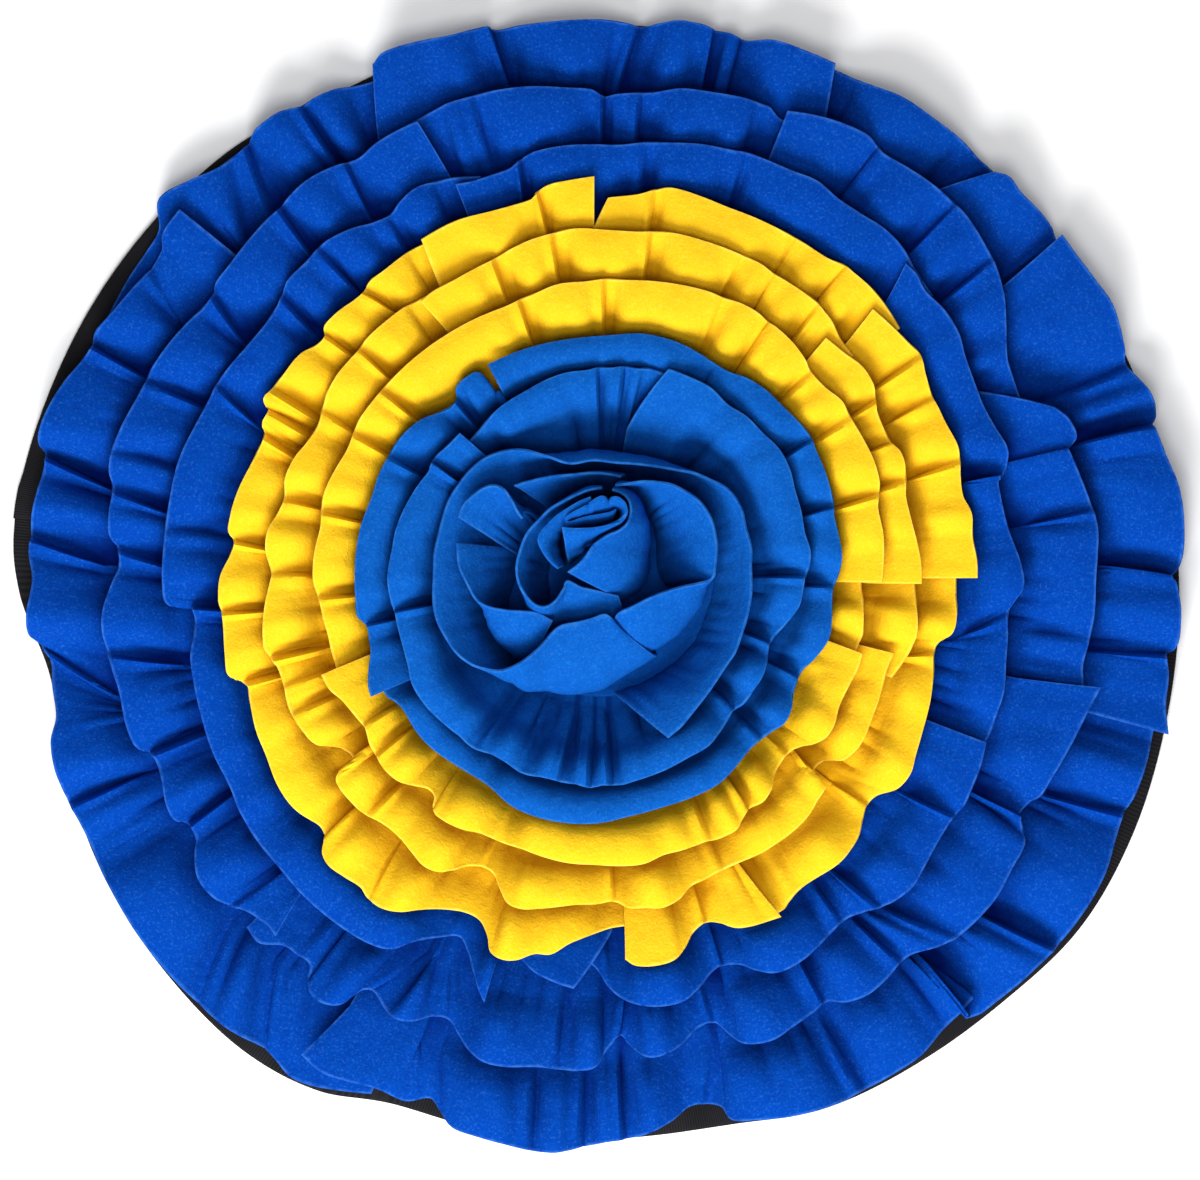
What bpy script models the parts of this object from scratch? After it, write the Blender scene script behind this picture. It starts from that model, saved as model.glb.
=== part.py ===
"""A round snuffle mat: eight pleated ruffles and a rosette of fleece sewn on a bound felt base.

Lengths in the tables are in millimetres and angles in degrees, counter-clockwise from +X.
The mat lies on z = 0, its middle at the origin.
"""
import math

import bpy
import numpy as np

MM = 0.001

# Base and binding
BASE_THICK = 3.0        # felt disc
RIM_THICK = 1.4         # felt pressed thin inside the binding
TAPE_THICK = 0.7
TAPE_WIDTH = 15.0       # each leg of the folded tape
TAPE_GAP = 0.3          # between tape and felt
OUTLINE_STEPS = 72      # corners round the base
OUTLINE_SAMPLES = 12    # samples between the rows of its outline

# Fleece strips
FLEECE = 2.0            # cloth thickness
CLEAR = 1.6             # from a strip's middle surface to the limit of its band
SEAT = BASE_THICK + FLEECE / 2 + 0.35    # middle of a strip's sewn edge
LIFT_POWER = 1.6        # how quickly a ruffle rises from its seam
FLARE = 0.3             # slope of a ruffle past its mean edge
TUCK = 0.4              # share of a strip's width that its folds run straight
UNDER_LANE = 0.30       # an end that lies under its neighbour stays below this level
OVER_LANE = 0.66        # and the end over it above this one
SEAM_LANE = 0.56        # level at the seam where a strip is sewn on top of its neighbour
PETAL_SEAT = BASE_THICK + 0.75           # middle of a petal's sewn edge, which stands up
LAP_MARGIN = 2          # degrees past a lap over which its levels settle
LAP_EASE = 1.6          # how soon they do, for the free edge
SEAM_EASE = 1.4         # and for the seam
LEAN_LIMIT = 1.15       # the most of its lean that a fold has at the seam
OUTER_LOW = 0.1         # floor of the outermost ring's band, as a share of its own rise
SEATED_RISE = 6         # rise, in mm, over which a strip gets its full clearance
FOLD_STEPS = 1          # mesh columns for each fold
WIDTH_STEPS = 2         # mesh rows across a strip

BLUE = (0.004, 0.055, 0.42, 1)
INNER_BLUE = (0.004, 0.085, 0.40, 1)
YELLOW = (0.90, 0.58, 0.01, 1)
BLACK = (0.008, 0.008, 0.010, 1)

# Radius of the base round its uneven outline: (deg, mm)
BASE_OUTLINE = (
    (0, 250), (15, 248), (30, 246), (45, 245), (60, 242), (75, 240), (90, 240), (105, 240),
    (118, 239), (131, 245), (145, 248), (160, 250), (174, 254), (181, 251), (190, 243),
    (200, 246), (212, 250), (223, 253), (233, 255), (241, 252), (249, 243), (262, 243),
    (275, 241), (284, 242), (293, 248), (305, 250), (314, 252), (324, 256), (334, 255),
    (346, 252))
# Each ruffle is a table of its folds, listed counter-clockwise:
#   deg    where the fold meets the free edge, round the mat's centre
#   reach  distance of the free edge from the centre, in mm
#   level  height of the free edge in its ring's band, 0 lowest to 1 highest
#   lean   how many degrees round the fold runs on its way in to the seam
# A lap is how an end lies on its neighbour: over, under or free, and for how many degrees.
RING_1 = {
    "strip_a": (("over", 5), ("over", 5), (
        (344.8, 253, .90, 0), (347.5, 249, .80, 0), (350.5, 248, .70, .3), (352.5, 246, .35, -.7),
        (353.6, 250, .75, -.5), (357, 250, .90, .3), (359.5, 248, .70, .9), (360.4, 246, .15, .9),
        (361.6, 250, .60, .9), (365, 252, .85, 1), (369, 252, .95, 1), (372.5, 249, .90, .6),
        (375.5, 247, .95, .2), (375.4, 245, .10, .3), (376.6, 250, .45, 0), (379, 250, .75, 0),
        (382, 245, .35, 0), (384, 247, .60, 0), (388, 250, .85, 0), (391, 249, .90, 0),
        (394, 248, .85, 0), (396.8, 248, .85, -.6))),
    "strip_b": (("under", 5), ("over", 5), (
        (33.5, 243, .20, 0), (36.5, 245, .15, .2), (38, 245, .20, 0), (40, 245, .60, 0),
        (42.5, 246, .85, 1), (44.5, 247, .90, 2.5), (46, 244, .90, 3.8))),
    "strip_c": (("under", 6), ("under", 4), (
        (43.5, 241, .15, 2), (46.5, 244, .25, 2), (48, 244, .40, 1.5), (50.5, 245, .65, .5),
        (54, 245, .80, 0), (58, 245, .85, 0), (61, 243, .70, 0), (63, 242, .45, 0),
        (65.5, 242, .20, 0), (68.5, 242, .15, 0))),
    "strip_d": (("over", 5), ("over", 4), (
        (65.5, 244, .90, -1.8), (68, 244, .85, -1), (72, 244, .80, 0), (74.5, 241, .45, .2),
        (75.5, 241, .20, 0), (76.6, 242, .55, 0), (78.3, 242, .25, 0), (79.6, 243, .70, 0),
        (82, 243, .85, 0), (84.5, 240, .60, .8), (86, 239, .20, 1.5), (87.5, 240, .50, 1.5),
        (90, 241, .80, 1), (94, 241, .90, 0), (98, 241, .65, 0), (100.4, 241, .35, -.5),
        (101.5, 243, .15, -.8), (103, 243, .60, -.5), (105.5, 243, .85, 0), (108, 244, .80, 0),
        (110.5, 245, .90, .8), (112.5, 245, .95, 2), (113.8, 242, .90, 2.5))),
    "strip_e": (("under", 5), ("under", 4), (
        (110.8, 236, .15, 3), (114, 236, .15, 1.5), (116, 237, .35, .5), (118.5, 240, .70, 0),
        (120.5, 241, .85, 0), (122.3, 241, .60, 0), (124.5, 244, .85, 0), (127.3, 244, .75, .3),
        (128.8, 240, .25, 1.5), (130.5, 240, .30, 3), (133, 242, .60, 3), (136, 247, .55, 1),
        (139.2, 251, .30, -.5), (141.5, 246, .15, 0))),
    "strip_f": (("over", 5), ("under", 9), (
        (138.6, 241, .90, -.3), (141.5, 240, .80, 1), (143, 236, .25, 4), (145, 235, .35, 3),
        (148, 237, .75, 1), (151, 239, .85, 0), (153.8, 242, .70, .5), (155.3, 241, .25, .6),
        (157, 242, .60, .3), (160, 246, .85, 0), (163.5, 249, .95, 0), (166, 249, .90, 1),
        (167.3, 245, .20, 1.8), (169, 244, .50, 1), (171, 243, .80, .5), (173.5, 243, .80, .5),
        (175.6, 241, .15, 2), (177.3, 242, .50, 1.5), (180, 244, .80, 1), (183.5, 247, .95, 2),
        (185.3, 246, .60, 4), (186.5, 241, .15, 6), (188.5, 239, .20, 5), (191, 240, .45, 3.5),
        (194, 241, .70, 1.5), (196.3, 246, .85, .5), (199, 248, .95, 1), (201, 248, .80, 1.2),
        (203, 248, .35, 0), (205, 247, .60, 0), (207.5, 247, .50, 0), (209.5, 248, .55, 0),
        (213, 249, .90, 0), (218, 250, .95, -1), (223, 250, .80, -2), (226.5, 250, .40, -3),
        (229.5, 250, .75, -3), (232, 248, .60, -3.5), (234.2, 246, .20, -4), (236, 249, .40, -4),
        (238, 252, .30, -3), (240, 251, .25, -2), (243, 245, .15, 0), (246, 241, .10, 0))),
    "strip_g": (("over", 9), ("under", 5), (
        (237.8, 241, .95, 1.5), (240.5, 243, .90, 1.5), (243.5, 241, .80, 1.5), (246.5, 239, .60, 1.5),
        (249.5, 237, .25, -1), (251.8, 235, .20, -3), (253.3, 239, .45, -2.5), (255, 244, .75, -2.5),
        (257.5, 245, .90, -2), (260.5, 246, .90, -1), (263, 247, .65, -.5), (265.5, 247, .80, 0),
        (268.2, 244, .45, 0), (270.5, 242, .70, 0), (272.5, 241, .35, -.2), (275, 239, .65, 0),
        (277.5, 235, .50, .5), (279.7, 228, .20, 1), (281.4, 225, .10, 2), (283, 233, .45, 1.5),
        (283.8, 239, .70, .8), (286.5, 242, .90, 0), (290, 245, .95, 0), (294, 247, .85, 0),
        (297.3, 247, .45, -.5), (300, 247, .75, 0), (304, 245, .85, 0), (307.5, 241, .70, 0),
        (310, 240, .85, -.8), (311.6, 240, .90, -1.5), (310.4, 243, .40, -.6), (310, 246, .12, 0),
        (311.6, 249, .25, 0), (313.5, 249, .50, -.5), (316, 250, .80, -1), (319, 251, .90, -2),
        (321, 252, .45, -2), (323, 252, .75, -.5), (326.5, 252, .90, 0), (330, 251, .85, 0),
        (333.5, 248, .60, -.5), (336, 245, .20, -1.5), (337.6, 248, .60, -1.5), (341, 248, .70, 0),
        (345, 247, .30, 0), (348, 246, .15, 0))),
}
RING_2 = {
    "strip_a": (("under", 6), ("over", 8), (
        (344.5, 213, .20, 0), (347.3, 213, .25, 0), (350, 211, .60, 0), (353, 212, .40, 0),
        (356, 213, .70, 0), (360, 213, .85, 0), (363, 214, .90, 0), (366, 215, .85, .5),
        (368.3, 214, .45, -1), (371, 212, .75, 0), (374, 210, .90, 0), (375.6, 209, .90, .2),
        (375.6, 208, .20, 0), (376.8, 214, .50, 1), (379, 213, .75, 3), (380.8, 209, .85, 5.5))),
    "strip_b": (("under", 8), ("over", 4), (
        (19.5, 195, .15, 3), (23.4, 197, .20, 2), (26, 198, .50, 0), (29, 200, .75, 0),
        (32, 206, .70, 0), (35, 212, .85, 0), (37.5, 216, .75, 0), (39.3, 218, .45, 0),
        (42, 220, .85, 0), (45, 222, .80, .3), (46.7, 222, .45, 0), (49.5, 222, .85, 0),
        (53, 221, .90, 0), (56, 220, .70, .8), (57.3, 221, .30, .7), (59, 223, .70, 0),
        (62, 222, .85, 0), (65, 220, .90, 0), (68.2, 217, .85, 0))),
    "strip_c": (("under", 5), ("under", 4), (
        (65.5, 213, .15, 0), (68.6, 213, .20, .5), (70.2, 216, .50, .3), (71.3, 216, .75, 0),
        (73.5, 216, .90, 0), (77, 215, .85, 0), (80.5, 214, .90, 0), (83.5, 211, .60, .4),
        (85.5, 210, .45, 0), (88, 209, .75, 0), (89.6, 208, .30, .2), (91.2, 211, .60, 0),
        (94, 212, .85, 0), (98, 214, .90, 0), (102, 215, .85, 0), (104.8, 215, .60, 0),
        (107.5, 215, .75, 0), (109.8, 214, .40, 0), (111.5, 213, .20, 0), (114, 212, .10, 0))),
    "strip_d": (("over", 4), ("over", 4), (
        (111.7, 212, .90, -1.4), (113.5, 212, .85, -1), (117, 211, .80, 0), (119.5, 209, .60, .3),
        (121.3, 210, .30, 1), (123.5, 212, .65, .5), (126.5, 213, .85, 0), (129.3, 212, .80, 0),
        (130.8, 211, .30, .8), (132.8, 211, .65, .3), (136, 210, .85, 0), (139.5, 209, .85, 0),
        (142, 209, .70, 2), (143.5, 207, .20, 3), (145.5, 207, .40, 1.5), (148, 209, .75, .5),
        (151, 211, .90, 0), (154.5, 213, .80, 0), (156.3, 213, .55, 0), (159, 214, .85, 0),
        (162.5, 216, .95, 0), (165.3, 217, .75, 0), (167.5, 216, .85, 1), (169.5, 213, .45, 2),
        (172, 213, .80, .5), (174.6, 212, .75, 1), (176.2, 208, .20, 2), (178.3, 207, .40, 1.5),
        (180.5, 210, .75, 1), (183.5, 214, .95, 1), (186, 215, .90, 2.5), (188.3, 214, .35, 3),
        (190.5, 213, .65, 1.5), (193.5, 212, .85, 0), (197, 213, .85, 0), (199.8, 212, .75, 0),
        (200.8, 208, .25, -.5), (202.3, 206, .35, 0), (204.5, 207, .70, 0), (207.5, 210, .90, 0),
        (209.4, 210, .75, .2), (210.6, 206, .15, -.8), (212.5, 206, .45, 0), (214, 210, .75, 0),
        (216.5, 215, .95, 0), (219.3, 215, .90, 1), (221.3, 212, .35, 1.5), (223.3, 208, .65, 0),
        (226, 206, .80, -.5), (227.7, 207, .85, -1.6))),
    "strip_e": (("under", 5), ("over", 5), (
        (224.5, 213, .10, 0), (226.8, 214, .15, 0), (229, 208, .20, 0), (231, 207, .45, 0),
        (233, 207, .60, .2), (233.9, 213, .25, .3), (235.2, 217, .70, 0), (237, 217, .90, .5),
        (238.6, 213, .80, 1.5), (239.8, 204, .30, 3), (241.2, 202, .15, 4), (243.2, 206, .40, 3),
        (245, 208, .75, 1.3), (247, 206, .70, -.5), (249, 201, .35, -1.5), (251, 200, .20, -2),
        (252.8, 205, .40, -2), (254.5, 210, .70, 0), (256.5, 213, .90, 0), (259, 213, .85, 0),
        (262.5, 211, .65, 0), (265.3, 211, .45, 0), (267.5, 211, .80, 0), (269.5, 209, .80, 0),
        (271, 201, .35, .5), (272.5, 196, .10, 1), (274, 202, .40, 1), (275.7, 206, .75, 0),
        (277.5, 206, .80, 0), (279.8, 203, .60, 0), (282.5, 197, .25, 0), (284.5, 197, .15, 0),
        (286, 204, .40, 1), (287.6, 209, .80, .3), (290.5, 211, .95, 0), (293.5, 209, .80, 0),
        (296.5, 207, .50, 0), (298.3, 206, .40, 0), (300.3, 210, .80, 0), (303, 212, .90, 0),
        (305.8, 211, .75, -1), (308.3, 209, .45, -1.5), (310.3, 210, .70, -2), (312.5, 214, .70, -3.5),
        (315, 217, .50, -4), (318, 218, .85, -2.5), (321.5, 218, .95, -1), (325, 216, .90, 0),
        (328, 215, .85, 1), (329.4, 211, .40, .3), (330.8, 207, .15, -.8), (332.6, 208, .40, 0),
        (334, 211, .60, -.5), (336.5, 212, .85, 0), (340, 214, .90, 0), (343.5, 216, .90, 0),
        (346, 218, .85, 0), (347.9, 220, .85, -1))),
}
RING_3 = {
    "strip_a": (("under", 6), ("over", 8), (
        (334, 178, .15, 0), (338, 180, .25, 0), (341, 180, .65, 0), (344.5, 180, .80, 0),
        (348.5, 178, .75, 0), (352, 177, .65, -2), (355.3, 176, .40, -5), (357.3, 179, .60, -6),
        (359.3, 182, .80, -4), (362, 181, .85, -1), (364.5, 179, .75, 0), (367, 177, .65, 0),
        (370, 176, .75, 0), (373.5, 176, .90, .2), (374.4, 178, .20, 0), (376, 182, .50, 0),
        (378, 184, .80, 0), (381, 182, .85, 0), (384.5, 181, .75, 0), (388, 182, .70, 0),
        (391.5, 184, .75, 0), (394.5, 187, .85, 0), (398, 188, .80, 0), (401.5, 187, .75, -1),
        (404, 189, .85, -2), (406, 189, .85, -3))),
    "strip_b": (("under", 6), ("over", 4), (
        (40.5, 188, .15, -2), (44.5, 190, .20, -2), (47.5, 193, .55, -1), (51, 194, .85, 0),
        (54.5, 193, .85, 0), (58, 193, .80, 0), (61.5, 195, .85, 0), (65, 194, .85, 0),
        (69, 194, .75, 0), (71, 194, .40, 0), (73.2, 193, .70, 0), (77, 192, .85, 0),
        (81, 190, .85, 0), (84, 189, .50, 0), (87.5, 187, .75, 0), (91, 187, .85, 0),
        (95, 187, .90, 0), (98.8, 186, .80, 1.2), (100.6, 184, .30, 1.2), (102.5, 181, .50, 0),
        (105.5, 180, .75, 0), (108, 180, .80, 0), (110.1, 181, .85, -.2))),
    "strip_c": (("under", 5), ("free", 0), (
        (106.5, 181, .15, 0), (110, 184, .20, 0), (112.3, 185, .60, 0), (115, 186, .85, 0),
        (117.7, 184, .75, 0), (120, 181, .50, 0), (122.5, 182, .60, 0), (125.5, 185, .85, 0),
        (128.5, 187, .80, .5), (130.4, 187, .50, -.5), (133, 186, .75, 0), (136, 186, .85, 1),
        (137.9, 184, .30, 1.3), (139.8, 182, .40, .5), (143, 181, .75, 0), (147, 182, .85, 0),
        (150.5, 184, .80, 1.5), (153, 185, .40, 3), (155.5, 185, .70, 1.5), (159, 186, .85, 0),
        (164, 188, .90, 0), (169, 188, .85, 0), (173.3, 188, .60, 0), (177, 188, .85, 0),
        (180.5, 188, .90, .5), (182.9, 187, .90, 1), (183.6, 182, .50, .5), (183.4, 177, .10, 1),
        (185, 175, .15, .8), (187.5, 176, .50, 2), (190.5, 179, .75, 5), (194.5, 180, .80, 6),
        (199, 181, .80, 4), (204, 182, .85, 1), (209, 182, .80, 0), (213, 184, .85, 0),
        (217.5, 185, .60, 0), (221.5, 185, .80, 0), (227, 186, .85, 0), (233, 186, .80, 0),
        (237.5, 185, .85, 0), (240.5, 182, .80, 0), (243, 174, .55, 0), (246, 168, .30, 0),
        (248.5, 165, .15, 0), (250.5, 170, .30, .5), (252.3, 178, .60, .5), (253.7, 184, .80, .4),
        (254.7, 188, .80, .1))),
    "strip_d": (("free", 0), ("over", 8), (
        (256.5, 165, .15, 0), (258.5, 167, .30, 0), (260.5, 171, .50, 1), (263.5, 174, .70, 3),
        (266.3, 176, .80, 5))),
    "strip_e": (("under", 8), ("over", 5), (
        (265.5, 163, .10, 0), (269, 166, .15, 0), (271, 174, .35, 0), (273, 180, .60, 0),
        (276, 184, .80, 0), (279, 185, .90, 0), (281.5, 184, .85, 0), (283.8, 180, .60, 0),
        (286, 175, .30, 0), (287.7, 174, .15, 0), (290, 176, .35, 0), (292, 181, .70, 0),
        (294.5, 185, .90, 0), (298, 185, .90, 0), (301, 183, .75, 0), (303.5, 181, .45, 0),
        (306, 180, .40, 0), (308.3, 182, .70, -.5), (310.5, 185, .50, -2), (312.5, 187, .85, -1.5),
        (315.5, 188, .95, 0), (318.5, 186, .85, 0), (321.5, 184, .75, 0), (324.5, 183, .60, -.5),
        (326.3, 183, .40, -1.5), (328.3, 184, .75, 0), (331, 183, .85, 0), (334, 182, .85, 0),
        (337.2, 180, .90, -.3))),
}
RING_4 = {
    "strip_a": (("over", 5), ("over", 5), (
        (.3, 162, .85, 0), (3, 162, .80, 0), (6.5, 161, .75, 0), (10, 162, .85, 0),
        (13, 160, .75, 0), (16, 161, .65, 1), (18.5, 163, .50, -.5), (20.7, 164, .85, 0),
        (24, 163, .80, 0), (27, 163, .60, .5), (29, 163, .45, -.5), (32, 165, .80, 0),
        (35, 168, .50, 0), (37.5, 167, .80, 0), (41, 166, .85, 0), (44.8, 165, .90, -1.3))),
    "strip_b": (("under", 6), ("free", 0), (
        (40, 168, .15, 0), (43.8, 170, .25, 0), (47, 171, .65, 0), (50.3, 171, .70, 1),
        (52, 171, .45, 0), (55, 169, .80, 0), (58.5, 169, .60, 1), (60.5, 169, .35, -.5),
        (63, 169, .75, 0), (67, 169, .85, 0), (71, 169, .85, 0), (75, 170, .85, 0),
        (79.5, 171, .85, 0), (82, 169, .45, 0), (84.7, 166, .70, 0), (88.8, 164, .85, 1.8))),
    "strip_c": (("free", 0), ("over", 5), (
        (90.8, 173, .90, .2), (94, 172, .85, 0), (97.3, 171, .75, .5), (99, 169, .35, -1),
        (100.3, 166, .50, 0), (103.5, 165, .75, 0), (107, 165, .85, 0), (112, 166, .85, 0),
        (117.7, 165, .90, 1.2))),
    "strip_d": (("under", 6), ("under", 5), (
        (113.5, 162, .15, 0), (118.2, 163, .25, 0), (121, 163, .65, 0), (124.5, 162, .80, 0),
        (127.5, 162, .70, -1), (129.5, 160, .25, -3), (131.5, 160, .60, -2), (134.5, 161, .80, 0),
        (137.3, 161, .70, 0), (138.4, 158, .30, -1), (140.3, 158, .60, 0), (143, 161, .85, 0),
        (147, 162, .85, 0), (149.8, 163, .50, 0), (151.7, 164, .90, 0), (152.9, 160, .45, 0),
        (155, 160, .70, 1), (156.8, 157, .20, 1.5), (159, 157, .50, 0), (162, 158, .75, 0),
        (166, 160, .80, 0), (170, 161, .85, 0), (172.5, 161, .75, 1), (174, 158, .35, 1),
        (176, 159, .60, 0), (179.5, 163, .80, 0), (183, 164, .85, .8), (185, 163, .35, .5),
        (187.3, 163, .70, 0), (191, 164, .85, 0), (194, 165, .85, .5), (195.3, 162, .40, 0),
        (196.7, 158, .30, 0), (199, 159, .65, 0), (203.5, 161, .85, 0), (208, 162, .80, 0),
        (212.5, 164, .85, 0), (216.3, 164, .85, 0), (219, 162, .80, 0), (221.3, 160, .50, 0),
        (223.2, 162, .40, 0), (224.5, 167, .70, 0), (226.5, 169, .90, 0), (229.3, 168, .80, 0),
        (232, 167, .65, 0), (234, 169, .35, -1.5), (236.5, 169, .80, -1), (239, 166, .80, 0),
        (242, 160, .50, 0), (245, 156, .25, 0), (248, 154, .15, 2), (250.5, 155, .20, 1),
        (252.3, 160, .35, -1), (253.5, 166, .60, 0), (255.3, 168, .90, 0), (257.5, 167, .85, 0),
        (260, 163, .75, 0), (262.5, 162, .75, 0), (265, 157, .70, 0), (268, 153, .55, 0),
        (271, 150, .30, 0), (273.5, 149, .20, 0), (277.5, 149, .15, 0))),
    "strip_e": (("over", 5), ("over", 5), (
        (273.8, 163, .85, .5), (275.3, 166, .90, 0), (278, 167, .90, 0), (281, 166, .85, 0),
        (283, 162, .60, 0), (285, 156, .35, 0), (287.2, 154, .20, 0), (289.2, 156, .40, 0),
        (291.2, 160, .70, 0), (293.5, 162, .85, 0), (296, 163, .85, -1), (298.3, 164, .90, -2))),
    "strip_f": (("under", 6), ("under", 6), (
        (293.5, 160, .15, -1), (298.5, 162, .20, -1), (300.5, 160, .50, 0), (303, 158, .60, .5),
        (305.7, 158, .75, 0), (310, 159, .85, 0), (313, 158, .75, 0), (315.5, 156, .55, 0),
        (318, 152, .35, 0), (320, 150, .20, -1.5), (322.3, 151, .40, -3), (325, 156, .75, -1.5),
        (328, 157, .90, 0), (331, 155, .85, 0), (335, 153, .75, 0), (340, 151, .80, 0),
        (344, 149, .65, 0), (347.3, 147, .30, -2), (349.5, 148, .50, -2), (351.5, 153, .80, 0),
        (354.3, 154, .75, 0), (357.5, 153, .40, 0), (361, 153, .20, 0), (364.5, 153, .15, 0))),
}
RING_5 = {
    "strip_a": (("over", 5), ("over", 5), (
        (-.7, 138, .85, 0), (3, 138, .80, 0), (7, 137, .75, 0), (11, 136, .80, 0),
        (15, 136, .75, 0), (18, 138, .60, 0), (21, 140, .85, 0), (23.3, 140, .80, 0),
        (25.3, 138, .50, 0), (28, 138, .70, 0), (31, 139, .65, .7), (33, 141, .40, 0),
        (35.3, 144, .85, 0), (39, 145, .85, 0), (43, 143, .85, 0), (47, 142, .90, -.5))),
    "strip_b": (("under", 6), ("over", 5), (
        (41.5, 145, .15, 0), (45, 146, .20, 0), (48, 149, .50, 0), (50, 150, .55, .8),
        (52, 151, .45, -.8), (55, 151, .80, 0), (58.5, 151, .65, .8), (60.5, 151, .40, -.4),
        (63, 152, .80, 0), (66, 152, .45, 1.5), (69, 152, .80, 0), (73, 152, .85, 0),
        (78, 152, .80, 0), (81.5, 151, .45, 0), (84.5, 150, .80, 0), (89, 150, .85, 0),
        (94, 151, .85, 0), (97.7, 150, .45, 0), (101, 149, .80, 0), (105, 147, .75, 0),
        (108.3, 145, .35, 0), (111.5, 144, .75, 0), (116, 143, .85, 0), (120, 143, .85, 0),
        (122.8, 142, .90, -1.8))),
    "strip_c": (("under", 7), ("over", 5), (
        (117, 142, .15, 0), (123, 143, .25, 0), (126, 144, .70, 0), (130, 144, .85, 0),
        (134, 144, .80, 0), (136.3, 143, .45, 0), (138.7, 143, .75, 0), (142, 143, .80, 0),
        (145.5, 142, .65, 0), (148.3, 140, .35, 0), (151.5, 138, .50, 0), (155, 139, .75, 0),
        (158, 141, .85, 0), (162, 142, .85, 0), (165.3, 140, .40, 0), (168, 141, .60, 0),
        (171.5, 144, .85, 0), (175, 144, .80, 0), (178.5, 141, .60, 0), (181, 142, .70, 0),
        (184, 144, .80, 0), (188, 146, .90, 0), (191.3, 147, .85, 0), (193.5, 145, .30, 0),
        (195.5, 143, .60, 0), (198.5, 143, .50, 0), (201, 144, .65, 0), (204, 144, .60, 0),
        (207, 143, .80, 0), (209.7, 141, .80, 0), (212, 135, .50, 0), (214, 131, .20, 0),
        (215.8, 131, .10, .4), (216.7, 134, .20, .5), (216.5, 138, .50, .8), (217.2, 142, .70, .3),
        (219, 143, .90, 0), (222.5, 143, .85, 0), (225.3, 142, .50, 0), (228.5, 140, .70, 0),
        (232, 140, .75, 0), (235.3, 142, .85, 0), (238.3, 144, .90, 0), (241, 143, .85, 0),
        (243.3, 139, .60, 0), (245.3, 135, .35, 0), (247.7, 133, .20, 1), (250, 134, .30, 0),
        (252, 139, .60, 0), (254, 144, .75, .8), (256.5, 145, .90, 0), (260, 143, .85, 0),
        (265, 140, .75, 0), (269.5, 139, .60, 0), (272.5, 138, .45, 0), (275, 141, .65, 0),
        (278, 142, .85, 0), (281, 143, .90, 0), (284, 141, .75, 0), (286.5, 137, .60, 0),
        (289.5, 136, .50, 0), (293, 135, .35, 0), (296.5, 135, .55, 0), (300, 136, .75, 0),
        (303.5, 136, .80, 0), (307.5, 136, .80, 0), (311.5, 135, .85, 0), (314.5, 133, .90, 0),
        (317.3, 131, .95, 0), (315.9, 127, .45, .5), (316.4, 124, .15, 1), (318.4, 123, .10, 0),
        (320.3, 123, .20, -.5), (322, 126, .40, -.5), (323.7, 130, .65, 0), (326.5, 132, .85, 0),
        (329.5, 132, .90, 0), (333, 131, .85, 0), (338, 130, .80, 0), (342.5, 129, .85, 0),
        (346, 130, .90, 0))),
    "strip_d": (("under", 6), ("under", 5), (
        (341.5, 132, .15, 0), (346.3, 136, .20, -1), (348, 137, .40, -2.5), (350.3, 138, .70, -2),
        (353.5, 137, .80, 0), (356, 136, .60, 0), (359.5, 135, .22, 0), (363.5, 135, .15, 0))),
}
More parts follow.
